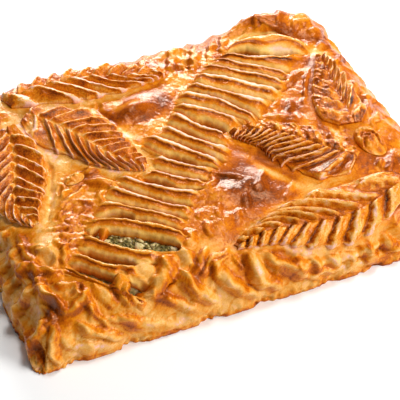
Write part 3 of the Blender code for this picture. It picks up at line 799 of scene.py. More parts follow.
# Turns a bmesh into a finished piece, with its vertices at these points in millimetres
def toObject(name, bm, points, node, material, values=None):
    bm.verts.ensure_lookup_table()
    mesh = bpy.data.meshes.new(name)
    bm.to_mesh(mesh)
    bm.free()
    mesh.vertices.foreach_set("co", (np.asarray(points, float) * mm).ravel())
    for key, data in (values or {}).items():
        attribute = mesh.attributes.new(key, "FLOAT", "POINT")
        attribute.data.foreach_set("value", np.asarray(data, float))
    mesh.update()
    mesh.shade_smooth()
    mesh.materials.append(material)
    piece = bpy.data.objects.new(name, mesh)
    bpy.context.scene.collection.objects.link(piece)
    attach(piece, "root")
    if node:
        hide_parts(node)
    return piece


# Materials

def linear(code):  # an sRGB hex colour as linear values
    parts = [int(code[i:i + 2], 16) / 255 for i in (1, 3, 5)]
    return tuple(c / 12.92 if c <= 0.04045 else ((c + 0.055) / 1.055) ** 2.4 for c in parts) + (1.0,)


# Gives each of these sockets of a node a link or a value
def setSockets(tree, node, sockets):
    for socket, source in sockets.items():
        if isinstance(source, bpy.types.NodeSocket):
            tree.links.new(source, node.inputs[socket])
        else:
            node.inputs[socket].default_value = source


# Adds a node with its settings and what its sockets take
def addNode(tree, kind, sockets=None, **settings):
    node = tree.nodes.new(kind)
    for key, value in settings.items():
        setattr(node, key, value)
    setSockets(tree, node, sockets or {})
    return node


def setRamp(node, stops):
    ramp = node.color_ramp
    while len(ramp.elements) > 1:
        ramp.elements.remove(ramp.elements[-1])
    for index, (position, colour) in enumerate(stops):
        element = ramp.elements[0] if index == 0 else ramp.elements.new(position)
        element.position = position
        element.color = linear(colour)


# A new material with its node tree and shader
def newFinish(name):
    material = bpy.data.materials.new(name)
    material.use_nodes = True
    return material, material.node_tree, material.node_tree.nodes["Principled BSDF"]


# By how far the dough is baked, from the floury skin and the cut crumb to a burnt edge; the palest, bloom
# colour also serves for painted highlights on lips
doughColours = {
    "bloomAndHighlight": (0.0, "#EDBBA4"),
    "floury": (0.07, "#E8AA78"),
    "raw": (0.16, "#E8AE5E"),
    "pale": (0.27, "#DE9B42"),
    "golden": (0.44, "#D97F0C"),
    "brown": (0.62, "#BA5A04"),
    "deep": (0.82, "#843702"),
    "burnt": (1.0, "#2B1004"),
}
steamedDough = "#DCBC5C"  # dough that steamed in a slit stays greenish yellow under its brown edge

browning = {  # the size of each in metres, its detail and how far it shifts the bake
    "patches": (0.02, 3.0, 0.34),
    "blotches": (0.0045, 4.0, 0.26),
    "specks": (0.0011, 3.0, 0.42),
}

eggFilm = {
    "IOR": 1.5,
    "tint": "#FFCDA0",
    "roughness": (0.46, 0.22),  # dull on pale cut dough, shiny on the skin that is baked this far
    "shinyFrom": 0.3,
    "broken": 0.3,  # how far the blotches change it
}


# Yeast dough brushed with egg and baked: a shiny brown film over a matt, paler crumb
def glazedDough(name, gloss, grainy):
    material, tree, shader = newFinish(name)
    place = addNode(tree, "ShaderNodeTexCoord").outputs["Object"]
    level = addNode(tree, "ShaderNodeAttribute", attribute_name="bakeWithPaintedLight").outputs["Fac"]
    noises = []
    for (size, detail, shift), share in zip(browning.values(), (1, grainy, grainy)):
        noise = addNode(tree, "ShaderNodeTexNoise", {"Vector": place, "Scale": 1 / size, "Detail": detail})
        noises.append(noise.outputs["Fac"])
        centred = addNode(tree, "ShaderNodeMath", {0: noises[-1], 1: 0.5}, operation="SUBTRACT")
        shifts = {0: centred.outputs[0], 1: shift * share, 2: level}
        level = addNode(tree, "ShaderNodeMath", shifts, operation="MULTIPLY_ADD").outputs[0]
    _, blotches, specks = noises
    ramp = addNode(tree, "ShaderNodeValToRGB", {"Fac": level})
    setRamp(ramp, doughColours.values())
    steam = addNode(tree, "ShaderNodeAttribute", attribute_name="steamed").outputs["Fac"]
    colours = {0: steam, 6: ramp.outputs["Color"], 7: linear(steamedDough)}
    mixed = addNode(tree, "ShaderNodeMix", colours, data_type="RGBA")
    dull, shiny = eggFilm["roughness"]
    limits = {"From Min": 0.0, "From Max": eggFilm["shinyFrom"], "To Min": dull, "To Max": shiny}
    film = addNode(tree, "ShaderNodeMapRange", {"Value": level, **limits}).outputs["Result"]
    breaks = {0: blotches, 1: eggFilm["broken"], 2: film}
    broken = addNode(tree, "ShaderNodeMath", breaks, operation="MULTIPLY_ADD").outputs[0]
    rough = addNode(tree, "ShaderNodeMath", {0: broken, 1: eggFilm["broken"] / 2}, operation="SUBTRACT")
    lumps = addNode(tree, "ShaderNodeBump", {"Height": blotches, "Strength": 0.8, "Distance": 0.5 * mm})
    grain = {"Height": specks, "Normal": lumps.outputs["Normal"]}
    grain.update({"Strength": 0.7, "Distance": 0.26 * mm * grainy})
    setSockets(tree, shader, {
        "Base Color": mixed.outputs[2],
        "Roughness": rough.outputs[0],
        "Normal": addNode(tree, "ShaderNodeBump", grain).outputs["Normal"],
        "IOR": eggFilm["IOR"],
        "Specular IOR Level": gloss,
        "Specular Tint": linear(eggFilm["tint"]),
    })
    return material


# Cooked food wet with broth: uneven in colour, glossy in places
def moistFood(name, roughness, size, stops):
    material, tree, shader = newFinish(name)
    place = addNode(tree, "ShaderNodeTexCoord").outputs["Object"]
    noise = addNode(tree, "ShaderNodeTexNoise", {"Vector": place, "Scale": 1 / size, "Detail": 4.0})
    spots = noise.outputs["Fac"]
    ramp = addNode(tree, "ShaderNodeValToRGB", {"Fac": spots})
    setRamp(ramp, stops)
    bump = addNode(tree, "ShaderNodeBump", {"Height": spots, "Strength": 0.5, "Distance": 0.4 * mm})
    setSockets(tree, shader, {
        "Base Color": ramp.outputs["Color"],
        "Normal": bump.outputs["Normal"],
        "Roughness": roughness,
    })
    return material


cookedFood = {  # roughness, size of the spots in metres, and colours from the wet hollows to the high spots
    "brothFilling": (0.4, 0.003, ((0.3, "#5A4E1E"), (0.5, "#9C8A42"), (0.7, "#D6C27E"))),
    "potatoFlesh": (0.45, 0.003, ((0.3, "#AE9852"), (0.5, "#DCC98C"), (0.7, "#F3E9C2"))),
    "choppedHerbs": (0.5, 0.0045, ((0.36, "#45420F"), (0.5, "#93843E"), (0.62, "#D2C285"))),
}

crustDough = glazedDough("glazedCrustDough", gloss=0.42, grainy=0.95)
leafDough = glazedDough("glazedLeafDough", gloss=0.6, grainy=1.7)
knobDough = glazedDough("glazedKnobDough", gloss=0.5, grainy=1.2)
brothFilling, potatoFlesh, choppedHerbs = (moistFood(food, *values) for food, values in cookedFood.items())
print("materials ready")


# Crust

crustBody = {
    "columns": 350,
    "rows": 278,
    "sunkBand": -14.0,  # under the slit band the body drops to this
    "sinkFrom": (5.0, 6.5),  # between these distances in from the band's border
    "lowest": 0.3,
}

bandSpan = (-136.0, 134.0)


# The ends across the band, cut back where the pie's edge crosses it
def bandSides(u):
    low = -36 + 10 * np.logaddexp(0, (u - 106) / 10)
    high = 42 - 10 * np.logaddexp(0, (-u - 112) / 10)
    return low, high


# Positions from edge to edge of the crust, even along its surface and not in plan
def evenSteps(size, count):
    return fromFlat(np.linspace(-edgeRun(size), edgeRun(size), count + 1), size)


def roundedCorners(x, y):
    ring = np.maximum(2 * np.abs(x) / pie["length"], 2 * np.abs(y) / pie["width"])
    radius = pie["corner"] * ring**6 * np.where((x < 0) & (y < 0), pie["sharpCorner"], 1.0)
    coreX = np.maximum(ring * pie["length"] / 2 - radius, 0)
    coreY = np.maximum(ring * pie["width"] / 2 - radius, 0)
    offX, offY = np.clip(np.abs(x) - coreX, 0, None), np.clip(np.abs(y) - coreY, 0, None)
    scale = np.maximum(offX, offY) / np.maximum(np.hypot(offX, offY), 1e-9)
    insideX, insideY = np.minimum(np.abs(x), coreX), np.minimum(np.abs(y), coreY)
    return np.sign(x) * (insideX + offX * scale), np.sign(y) * (insideY + offY * scale)


def makeCrust():
    columns, rows = evenSteps(pie["length"], crustBody["columns"]), evenSteps(pie["width"], crustBody["rows"])
    bm, column, row = gridOf(len(columns), len(rows))
    x, y = columns[column], rows[row]
    lift, bakeWithPaintedLight = doughRelief(x, y)
    lift = lift * bareDough(x, y)
    u, v = toBand(x, y)
    low, high = bandSides(u)
    inside = np.minimum(np.minimum(u - bandSpan[0], bandSpan[1] - u), np.minimum(v - low, high - v))
    sunk = smooth(*crustBody["sinkFrom"], inside)
    lift = lift * (1 - sunk) + crustBody["sunkBand"] * sunk
    points = onCrust(x, y, lift)
    roundX, roundY = roundedCorners(x, y)
    points[:, 0] += roundX - x
    points[:, 1] += roundY - y
    points[:, 2] = np.where(onBorder(column, row), 0, np.maximum(points[:, 2], crustBody["lowest"]))
    points = keepInside(points)
    bmesh.ops.holes_fill(bm, edges=openEdges(bm), sides=0)
    return toObject("crustBody", bm, points, "crust", crustDough, {"bakeWithPaintedLight": bakeWithPaintedLight})


makeCrust()
print("crust body made")


# Slit band

slitBand = {
    "perStrip": 30,
    "pastLast": 90,
    "rows": 100,
    "borderColumns": 10,
    "borderRows": 7,
    "dip": 0.25,  # the border goes this far under the crust body
    "buried": -12.0,
    "shift": -2.4,  # a crest is seen a little behind where it stands
    "closedGap": 3.2,
    "openGap": 5.0,  # hidden behind the crest, on top of the dark width that is seen
    "mostClosed": 0.32,  # a slit takes at most this share of the way to the next crest
    "mostOpen": 0.62,
    "closedFloor": -2.7,
    "openFloor": -9.0,
    "lipRow": 7,  # from this row of stripTop on, the section is the strip's lip
    "steamed": 0.6,
}

# The section of a strip: the far side of the last one down to the slit's floor, then its own wall up to its
# crest. Share of the columns, share of the width, height in mm and how far it is baked, with the pale lip a
# painted highlight
farSide = (
    (0.0, 0.0, 3.0, 0.34),
    (0.04, 0.35, 2.4, 0.4),
    (0.09, 0.8, -0.2, 0.5),
    (0.14, 1.0, 0.0, 0.5),
)
stripTop = (
    (0.2, 0.0, -2.6, 0.22),
    (0.233, 0.01, -2.0, 0.14),
    (0.267, 0.03, -1.0, 0.12),
    (0.32, 0.07, 0.3, 0.12),
    (0.38, 0.15, 1.2, 0.14),
    (0.44, 0.26, 1.9, 0.26),
    (0.5, 0.37, 2.4, 0.5),
    (0.56, 0.47, 2.8, 0.72),
    (0.62, 0.56, 3.1, 0.84),
    (0.66, 0.61, 3.3, 0.78),
    (0.71, 0.67, 3.6, 0.3),
    # the lip, painted pale as a highlight
    (0.8, 0.77, 3.9, -0.08),
    (0.9, 0.88, 3.7, -0.08),
    (1.0, 1.0, 3.0, 0.2),
)

# Lumps of dough that lie over the strips: u, v, half size, height and bake
stripLumps = (
    (-128.5, 3.5, 5.5, 4.2, 0.44),
    (-113.5, 12.0, 6.0, 2.4, 0.2),
    (-122.0, 1.0, 3.5, 1.6, 0.3),
    (-96.0, -22.0, 3.5, 1.8, 0.36),
)


# Where a point of the grid lies between two crests: its u, its lift and its bake, with the painted shade of
# open slits and the painted highlight of lips
def stripSection(before, after, v, w):
    start, end = crestAt(before, v), crestAt(after, v)
    gap = end - start
    opening = slitWidth(before, v)
    isOpen = smooth(0.0, 1.5, opening)
    closed = np.minimum(slitBand["closedGap"], slitBand["mostClosed"] * gap)
    slit = closed + (slitBand["openGap"] - closed + opening) * isOpen
    slit = np.minimum(slit, slitBand["mostOpen"] * gap)
    floor = slitBand["closedFloor"] + (slitBand["openFloor"] - slitBand["closedFloor"]) * isOpen
    farWidth = np.minimum(1.3, 0.12 * gap)
    past = [width * farWidth for _, width, _, _ in farSide]
    past += [slit + width * (gap - slit) for _, width, _, _ in stripTop]
    lipWide = np.clip(0.9 + 0.3 * waves(start, v, 38, 54), 0.6, 1.15) * (0.8 + 0.2 * smooth(-95, -30, start))
    near = len(farSide)  # the first row of the near wall
    for k in range(slitBand["lipRow"], len(stripTop)):
        past[near + k] = slit + (1 - (1 - stripTop[k][1]) * lipWide) * (gap - slit)
    past = np.stack(past)
    share, _, heights, bakes = np.array(farSide + stripTop).T
    height, baked = heights[:, None] + 0 * gap, bakes[:, None] + 0 * gap
    height[near - 1] = floor
    height[near] = np.minimum(floor, height[near])
    height[near + 1] -= 0.8 * isOpen
    # Painted shade: the floor of an open slit and the foot of its near wall are painted dark, where shadow
    # falls into it
    for k, openSlitShade in ((near - 1, 0.95), (near, 0.95), (near + 1, 0.5)):
        baked[k] += (openSlitShade - baked[k]) * isOpen
    index = np.searchsorted(share, w, side="right").clip(1, len(share) - 1)
    each = np.arange(len(w))
    t = (w - share[index - 1]) / (share[index] - share[index - 1])
    lift = height[index - 1, each] * (1 - t) + height[index, each] * t
    u = start + past[index - 1, each] * (1 - t) + past[index, each] * t
    return u, lift, baked[index - 1, each] * (1 - t) + baked[index, each] * t


def makeBand():
    count, spans = slitBand["perStrip"], len(crests) + 1
    columnCount = (spans - 1) * count + slitBand["pastLast"] + 1
    bm, column, row = gridOf(columnCount, slitBand["rows"] + 1)
    span = np.minimum(column // count, spans - 1)
    within = (column - span * count) / np.where(span == spans - 1, slitBand["pastLast"], count)
    middles = np.array([bandSpan[0]] + [r[1] for r in crests] + [bandSpan[1]])
    nominal = middles[span] + within * (middles[span + 1] - middles[span])
    low, high = bandSides(nominal)
    for k in range(spans):  # the near side follows where the crests really end there
        here = np.flatnonzero(span == k)
        begin = crestAt(crests[k - 1], low[here]) if k > 0 else bandSpan[0]
        finish = crestAt(crests[k], low[here]) if k < len(crests) else bandSpan[1]
        low[here] = bandSides(begin + within[here] * (finish - begin))[0]
    v = low + (high - low) * row / slitBand["rows"]
    u, strip, stripBakeWithPaintedLight, shown = np.zeros(len(v)), np.zeros(len(v)), np.full(len(v), 0.5), np.zeros(len(v))
    for k in range(spans):
        here = np.flatnonzero(span == k)
        vv, w = v[here], within[here]
        before, after = crests[max(k - 1, 0)], crests[min(k, len(crests) - 1)]
        first, last = max(before[3], after[3]), min(before[4], after[4])
        shown[here] = smooth(first - 3, first + 5, vv) * smooth(last + 3, last - 5, vv)
        if k == 0:
            u[here] = bandSpan[0] + w * (crestAt(after, vv) - bandSpan[0])
            strip[here] = 1.2 * w**2 + 1.6 * peak(w, 0.7, 0.16)
        elif k == len(crests):
            u[here] = crestAt(before, vv) + w * (bandSpan[1] - crestAt(before, vv))
            strip[here] = 1.2 * (1 - w) ** 2
            shown[here] = shown[here] * smooth(0.9, 0.2, w)  # the sheet rises to the swollen corner behind it
        else:
            u[here], strip[here], stripBakeWithPaintedLight[here] = stripSection(before, after, vv, w)
    u = u + 0.35 * waves(u, v, 5, 55) * shown
    u = u + slitBand["shift"] * smooth(0, 6, u - bandSpan[0]) * smooth(0, 6, bandSpan[1] - u)
    x, y = fromBand(u, v)
    p, q = placeFlat("top", x, y)
    lift, bakeWithPaintedLight = doughRelief(x, y)
    lumps = np.zeros_like(u)
    for lumpU, lumpV, half, height, lumpBake in stripLumps:
        away = np.hypot(u - lumpU, v - lumpV) / half
        over = smooth(1.25, 0.8, away)
        shown = shown * (1 - over)
        bakeWithPaintedLight = bakeWithPaintedLight + (lumpBake - bakeWithPaintedLight) * over
        lumps = lumps + height * np.sqrt(np.clip(1 - (away / 1.2) ** 2, 0, 1))
    wobble = layered(u, v, (0.5, 24, 51), (0.25, 9, 52), (0.1, 3.5, 53))
    lift = lift * (1 - 0.8 * shown) + (strip + wobble) * shown + lumps
    # Tints leave the pale lips, painted highlights, as they are, except on the arch
    tinted = np.maximum(smooth(0.15, 0.5, stripBakeWithPaintedLight), smooth(100, 112, u))
    stripBakeWithPaintedLight = stripBakeWithPaintedLight + 0.05 * waves(x, y, 20, 8) + tintAt(p, q) * tinted
    lips = smooth(0.68, 0.76, within)
    stripBakeWithPaintedLight = stripBakeWithPaintedLight + lips * (0.3 * smooth(-50, -85, u) + 0.36 * smooth(96, 106, u))
    bakeWithPaintedLight = bakeWithPaintedLight * (1 - shown) + stripBakeWithPaintedLight * shown
    steamed = slitBand["steamed"] * shown * smooth(0.2, 0.28, within) * smooth(0.48, 0.34, within)
    lift = lift * bareDough(x, y)
    fromEnd = np.minimum(column, columnCount - 1 - column) / slitBand["borderColumns"]
    inset = np.minimum(fromEnd, np.minimum(row, slitBand["rows"] - row) / slitBand["borderRows"])
    lift = lift - slitBand["dip"] * (2 * smooth(1.0, 0.0, inset) - 1) * smooth(1.6, 0.9, inset)
    lift = np.where(inset == 0, slitBand["buried"], lift)
    points = keepInside(onCrust(x, y, lift))
    bmesh.ops.holes_fill(bm, edges=openEdges(bm), sides=0)
    return toObject("slitBand", bm, points, "crust", crustDough, {"bakeWithPaintedLight": bakeWithPaintedLight, "steamed": steamed})


makeBand()
print("slit band made")


# Filling

fillingMass = {
    "cell": 1.6,
    "inset": 12.5,
    "sink": 5.7,
    "floor": 5.0,
    "lump": 0.8,
}


def makeFilling():
    halfX, halfY = pie["length"] / 2 - fillingMass["inset"], pie["width"] / 2 - fillingMass["inset"]
    columns = np.linspace(-halfX, halfX, int(2 * halfX / fillingMass["cell"]))
    rows = np.linspace(-halfY, halfY, int(2 * halfY / fillingMass["cell"]))
    bm, column, row = gridOf(len(columns), len(rows))
    x, y = columns[column], rows[row]
    lumps = np.abs(waves(x, y, 9, 21)) + 0.6 * np.abs(waves(x, y, 4, 22))
    points = onCrust(x, y, fillingMass["lump"] * (lumps - 0.5) - fillingMass["sink"])
    points[:, 2] = np.where(onBorder(column, row), fillingMass["floor"], points[:, 2])
    bmesh.ops.holes_fill(bm, edges=openEdges(bm), sides=0)
    return toObject("fillingMass", bm, points, "filling", brothFilling)


# Bits that show in the open slits: u and v ranges, depth below the crust, potato bits and herb bits
fillingShows = (
    ((-101, -88), (-26, 24), -4.1, 36, 620),
    ((-129, -122), (-26, 18), -6.4, 3, 70),
    ((-113, -107), (-28, 6), -6.4, 1, 50),
    ((-44, -38), (-22, 4), -4.8, 0, 26),
    ((18, 24), (-6, 17), -4.8, 0, 24),
    ((98, 112), (-11, 36), -4.6, 8, 240),
)


# Chopped bits as one piece, scattered over the filling where the slits are open
def makeBits(name, material, which, low, high, flat, seed):
    rng = np.random.default_rng(seed)
    bm = bmesh.new()
    bmesh.ops.create_icosphere(bm, subdivisions=1, radius=1.0)
    ball = np.array([v.co[:] for v in bm.verts])
    points = []
    for uRange, vRange, depth, *counts in fillingShows:
        for _ in range(counts[which]):
            if points:
                bmesh.ops.create_icosphere(bm, subdivisions=1, radius=1.0)
            long = low * (high / low) ** (rng.uniform() ** 1.6)
            size = long * np.array([1.0, rng.uniform(0.35, 0.8), flat])
            lying = Quaternion((0, 0, 1), rng.uniform(0, math.pi * 2))
            tipped = Quaternion((1, 0, 0), 0.4 * rng.standard_normal())
            bit = ball * (1 + 0.2 * rng.standard_normal(ball.shape)) * size
            x, y = fromBand(rng.uniform(*uRange), rng.uniform(*vRange))
            at = onCrust(np.array([x]), np.array([y]), np.array([depth + rng.uniform(-1.4, 0.5)]))[0]
            points.append(bit @ np.array((tipped @ lying).to_matrix()) + at)
    return toObject(name, bm, np.concatenate(points), None, material)


makeFilling()
makeBits("potatoBits", potatoFlesh, which=0, low=1.2, high=4.4, flat=0.34, seed=71)
makeBits("herbBits", choppedHerbs, which=1, low=0.4, high=1.7, flat=0.4, seed=72)
print("filling made")


# Leaves

leafForm = {
    "thick": 3.1,
    "rib": 2.6,
    "vein": 1.3,
    "gap": 0.35,
    "end": 0.985,
    "rowStep": 0.5,
    "across": 52,
    "paintedLipHighlight": -0.1,
    "blister": 0.55,
}

# The section across a rib, from the groove up its steep flank, over the lip and down its gentle side: share,
# height from 0 to 1, whether it has the bake of the groove (0) or the top (1), and how much it is lip, which
# is painted pale as a highlight
ribSection = (
    (0, 0.0, 0.0, 0.0),
    (0.05, 0.1, 0.0, 0.0),
    (0.1, 0.66, 0.4, 0.6),
    (0.14, 0.87, 0.6, 1.0),
    (0.22, 0.94, 1.0, 1.0),
    (0.32, 1.0, 1.0, 1.0),
    (0.37, 0.92, 1.0, 0.4),
    (0.42, 0.74, 1.1, 0.0),
    (0.5, 0.62, 1.15, 0.0),
    (0.64, 0.5, 1.05, 0.0),
    (0.78, 0.32, 0.9, 0.0),
    (0.88, 0.1, 0.3, 0.0),
    (1, 0.0, 0.0, 0.0),
)

# How each half is scored: ribs along it, how far they run to the tip for each step out, at its base and at
# its tip, how they crowd toward the tip, how open the grooves are, the bake of grooves and tops, how rough
# it is, and whether the steep flanks look to the base (1) or to the tip (-1)
leafScores = {
    "leaf_left_inner": {
        "left": (11, 0.7, 0.75, 1.0, 1.3, 0.12, 0.66, 0.7, 1),
        "right": (11, 1.3, 1.5, 1.0, 1.2, 0.26, 0.62, 0.7, 1),
    },
    "leaf_left_edge": {
        "left": (10, 0.7, 0.8, 1.0, 1.1, 0.24, 0.64, 0.7, 1),
        "right": (10, 1.3, 1.4, 1.0, 1.1, 0.3, 0.64, 0.7, 1),
    },
    "leaf_back_edge": {
        "left": (11, 0.9, 0.9, 1.0, 1.1, 0.5, 0.56, 0.8, 1),
        "right": (8, 1.5, 1.5, 1.0, 1.0, 0.44, 0.56, 0.8, -1),
    },
    "leaf_right_inner": {
        "left": (15, 0.65, 1.2, 1.0, 1.1, 0.8, 0.76, 0.5, 1),
        "right": (6, 0.6, 0.6, 1.0, 1.0, 0.5, 0.66, 1.9, 1),
    },
    "leaf_right_edge": {
        "left": (7, 0.5, 0.5, 1.0, 1.0, 0.7, 0.66, 1.9, -1),
        "right": (8, 1.8, 2.0, 1.0, 1.1, 0.44, 0.8, 0.9, -1),
    },
    "leaf_front_edge": {
        "left": (11, 0.9, 0.9, 1.3, 0.9, 0.82, 0.44, 0.9, -1),
        "right": (9, 2.0, 2.0, 1.2, 0.9, 0.6, 0.68, 0.9, -1),
    },
}


def makeLeaf(name):
    midrib, left, right = leaves[name]
    line, length = curve(midrib, 300)
    along = np.linspace(0, 1, len(line))
    heading = headingOf(line)
    sides = np.sin(np.linspace(-1, 1, leafForm["across"] + 1) * math.pi / 2)
    roots = np.linspace(0.0, leafForm["end"], round(length / leafForm["rowStep"]))
    bm, column, row = gridOf(len(sides), len(roots))
    side, root = sides[column], roots[row]
    onLeft = side >= 0
    score = [np.where(onLeft, a, b) for a, b in zip(leafScores[name]["left"], leafScores[name]["right"])]
    ribs, slantBase, slantTip, crowding, opening, grooveBake, topBake, roughness, steep = score

    def halfWidth(at):
        return np.where(onLeft, np.interp(at, stations, left), np.interp(at, stations, right))

    slanted = slantBase + (slantTip - slantBase) * root
    slant = np.minimum(slanted * halfWidth(root) / length, 0.7 * (1 - root)) * smooth(0, 0.12, root)
    at = root + slant * np.abs(side) ** 1.1
    turns = ribs * (root / leafForm["end"]) ** crowding + np.where(onLeft, 0.0, 0.4)
    turns = turns + layered(root * length, side * 20, (0.1, 30, 61), (0.05, 9, 62))
    turn = np.where(steep > 0, turns % 1.0, 1 - turns % 1.0)
    turn = 1 - (1 - turn) ** (opening * (1 + 0.4 * np.abs(side) * (opening > 1)))
    heights = np.random.default_rng(len(name)).uniform(0.65, 1.1, 64)  # no two ribs are equally high
    sectionAt, sectionHeight, sectionBake, sectionLipHighlight = zip(*ribSection)
    ridge = np.interp(turn, sectionAt, sectionHeight) * heights[np.floor(turns).astype(int) + 2 + 30 * onLeft]
    half = halfWidth(at) * (0.88 + np.where(roughness > 1, 0.08, 0.16) * ridge * smooth(1, 0.9, root))
    x = np.interp(at, along, line[:, 0]) - side * half * np.interp(at, along, heading[:, 1])
    y = np.interp(at, along, line[:, 1]) + side * half * np.interp(at, along, heading[:, 0])
    vein = smooth(0, 0.12, np.abs(side))
    rim = np.sqrt(np.clip(1 - np.abs(side) ** 9, 0, 1)) * smooth(-0.02, 0.03, root)
    rim = rim * smooth(1.0, 0.95, root / leafForm["end"])
    deep = leafForm["rib"] * np.where(roughness > 1, 0.38, 1.0)
    body = leafForm["thick"] + deep * (2 * ridge - 1) * vein - leafForm["vein"] * (1 - vein)
    p, q = placeFlat("top", x, y)
    blisters = np.clip(waves(p, q, 7, 35), 0, None) - 0.8 * np.clip(waves(p, q, 5, 36) - 0.3, 0, None)
    blisters = leafForm["blister"] * blisters + layered(p, q, (0.14, 2.6, 32))
    body = body + layered(p, q, (0.3, 14, 31)) + roughness * blisters
    thick = np.maximum(body * (0.2 + 0.8 * rim), 0.4)
    over = keepInside(onCrust(x, y, leafForm["gap"] + thick))
    under = onCrust(x, y, np.full_like(x, leafForm["gap"] - 0.6))
    top = topBake + 0.12 * waves(p, q, 17, 33)
    bakeWithPaintedLight = grooveBake + (top - grooveBake) * np.interp(turn, sectionAt, sectionBake) * (0.4 + 0.6 * vein)
    narrower = np.clip((ribs - 5) / 5, 1, 2)  # close ribs have thin lips
    ragged = 0.12 + (turn - 0.12) * narrower + layered(p, q, (0.07, 5, 38), (0.04, 2, 39))
    lipHighlight = np.interp(ragged, sectionAt, sectionLipHighlight) * vein * (0.85 + 0.4 * waves(p, q, 8, 37)).clip(0, 1)
    lipHighlight = lipHighlight * np.interp(roughness, (0.8, 0.9, 1.0), (1.0, 0.7, 0.4))
    # the lip is painted pale, as a highlight
    bakeWithPaintedLight = bakeWithPaintedLight + (leafForm["paintedLipHighlight"] - bakeWithPaintedLight) * lipHighlight
    bakeWithPaintedLight = bakeWithPaintedLight + 0.12 * np.clip(roughness - 1, 0, 1) * waves(p, q, 6, 34)
    bakeWithPaintedLight = bakeWithPaintedLight - 0.3 * smooth(0.9, 1.0, np.abs(side))  # the cut edge stays paler
    bmesh.ops.duplicate(bm, geom=bm.verts[:] + bm.edges[:] + bm.faces[:])
    bm.faces.ensure_lookup_table()
    bmesh.ops.reverse_faces(bm, faces=bm.faces[len(bm.faces) // 2:])
    bmesh.ops.bridge_loops(bm, edges=openEdges(bm))
    pieceName, values = name.replace("_", "-") + "-scored", {"bakeWithPaintedLight": np.concatenate([bakeWithPaintedLight, bakeWithPaintedLight])}
    return toObject(pieceName, bm, np.concatenate([over, under]), name, leafDough, values)


for leafName in leaves:
    makeLeaf(leafName)
print("leaves made")


# Knobs

knobForm = {
    "around": 128,
    "poleToPole": 96,
    "gap": 0.5,
    "prongs": 0.3,
    "paintedHollowShade": 0.2,
    "prongBake": -0.24,
    "paintedLipHighlight": -0.24,
}

# The hollow under the folded edge of each knob, its centre and half sizes as shares of the knob, its depth,
# and how far the knob is baked
knobFolds = {
    "bud_right": ((-0.1, -0.45), (0.78, 1.1), 0.3, 0.52),
    "bud_left": ((0.1, -0.6), (0.7, 0.9), 0.6, 0.62),
    "curl_left": ((-0.8, -0.7), (0.7, 0.6), 0.9, 0.3),
}


def makeKnob(name):
    centre, half, height, turn = knobs[name]
    bm = bmesh.new()
    around, poleToPole = knobForm["around"], knobForm["poleToPole"]
    bmesh.ops.create_uvsphere(bm, u_segments=around, v_segments=poleToPole, radius=1.0)
    right, back, up = np.array([v.co[:] for v in bm.verts]).T
    c, s = math.cos(math.radians(turn)), math.sin(math.radians(turn))
    x = centre[0] + half[0] * right * c - half[1] * back * s
    y = centre[1] + half[0] * right * s + half[1] * back * c
    foldCentre, foldHalf, depth, baked = knobFolds[name]
    into = np.hypot((right - foldCentre[0]) / foldHalf[0], (back - foldCentre[1]) / foldHalf[1])
    into = into + 0.12 * waves(x, y, 9, 64)
    hollow = smooth(1.0, 0.82, into) * smooth(-1.0, 0.1, back)
    prongs = np.abs(np.sin(4.2 * right + 0.8 * back + 0.5)) * smooth(0.85, 0.6, into)
    wrinkle = layered(x, y, (0.16, 8, 65), (0.1, 3, 66))
    vault = 1 + wrinkle - depth * hollow + knobForm["prongs"] * prongs - 0.15
    vault = vault * (1 - 0.9 * smooth(0.1, -0.7, back))
    lift = knobForm["gap"] + np.where(up > 0, height * up * vault, up)
    # Painted shade in the hollow under the fold's edge, and a painted highlight along that edge
    bakeWithPaintedLight = baked + knobForm["paintedHollowShade"] * hollow + 0.12 * waves(x, y, 7, 67)
    bakeWithPaintedLight = bakeWithPaintedLight + knobForm["prongBake"] * prongs**2 * smooth(0.9, 0.6, into)
    bakeWithPaintedLight = bakeWithPaintedLight + knobForm["paintedLipHighlight"] * peak(into, 1.03, 0.09) * smooth(-0.2, 0.4, back)
    pieceName, points = name.replace("_", "-") + "-rolled", onCrust(x, y, lift)
    return toObject(pieceName, bm, points, name, knobDough, {"bakeWithPaintedLight": bakeWithPaintedLight})


for knobName in knobs:
    makeKnob(knobName)
print("knobs made")


# Floor, lights and camera

studio = {
    "floorColour": "#FAFAF9",
    "floorRoughness": 0.7,
    "floorHeight": -0.0002,
    "world": 0.15,
}

# Windows and soft lamps: azimuth (0 is behind the pie, 90 to its right), elevation, distance, size and watts
windows = {
    "backWindow": (22, 22, 1.4, (0.8, 0.35), 22.0),
    "rightWindow": (126, 36, 1.4, (0.6, 0.5), 15.0),
    "overheadSoft": (60, 74, 1.4, (0.4, 0.4), 9.0),
    "frontFill": (160, 20, 1.5, (1.3, 0.5), 5.0),
}

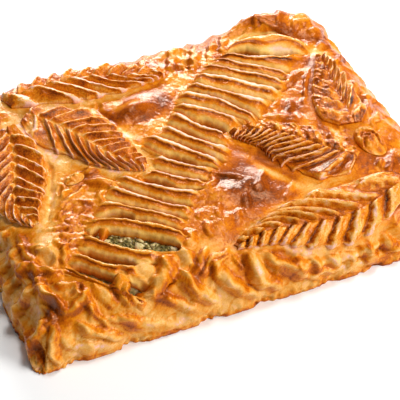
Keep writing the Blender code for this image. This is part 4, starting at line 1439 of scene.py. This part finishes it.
floorMesh = bmesh.new()
bmesh.ops.create_grid(floorMesh, x_segments=1, y_segments=1, size=6.0)
mesh = bpy.data.meshes.new("floor")
floorMesh.to_mesh(mesh)
floorMesh.free()
floor = bpy.data.objects.new("floor", mesh)
floor.location.z = studio["floorHeight"]
bpy.context.scene.collection.objects.link(floor)
paint, paintTree, paintShader = newFinish("mattWhitePaint")  # a plain pale table that takes soft shadows
paintColour = linear(studio["floorColour"])
setSockets(paintTree, paintShader, {"Base Color": paintColour, "Roughness": studio["floorRoughness"]})
mesh.materials.append(paint)

world = bpy.data.worlds.new("softWhiteRoom")
world.use_nodes = True
background = world.node_tree.nodes["Background"]
setSockets(world.node_tree, background, {"Color": (1, 1, 1, 1), "Strength": studio["world"]})
bpy.context.scene.world = world


# An area light that looks at the pie
def addWindow(name, azimuth, elevation, distance, size, power):
    a, e = math.radians(azimuth), math.radians(elevation)
    light = bpy.data.lights.new(name, "AREA")
    light.shape = "RECTANGLE"
    light.size, light.size_y = size
    light.energy = power
    lamp = bpy.data.objects.new(name, light)
    away = Vector((math.sin(a) * math.cos(e), math.cos(a) * math.cos(e), math.sin(e)))
    lamp.location = away * distance
    lamp.rotation_euler = away.to_track_quat("Z", "Y").to_euler()
    bpy.context.scene.collection.objects.link(lamp)


for windowName, values in windows.items():
    addWindow(windowName, *values)

view = {
    "target": (-0.0111, -0.0360, 0.02),
    "azimuth": -26.44,  # 0 looks from the front, and below 0 from the front left
    "elevation": 44.79,
    "roll": 3.11,
    "distance": 0.9577,
    "lens": 135.8,
}
a, e = math.radians(view["azimuth"]), math.radians(view["elevation"])
backward = Vector((math.sin(a) * math.cos(e), -math.cos(a) * math.cos(e), math.sin(e)))
roll = Quaternion((0, 0, 1), math.radians(view["roll"]))
cameraData = bpy.data.cameras.new("camera")
cameraData.lens = view["lens"]
cameraData.sensor_width = 36.0
camera = bpy.data.objects.new("camera", cameraData)
camera.location = Vector(view["target"]) + backward * view["distance"]
camera.rotation_mode = "QUATERNION"
camera.rotation_quaternion = backward.to_track_quat("Z", "Y") @ roll
bpy.context.scene.collection.objects.link(camera)
bpy.context.scene.camera = camera
bpy.context.scene.view_settings.view_transform = "Standard"
print("floor, lights and camera set")
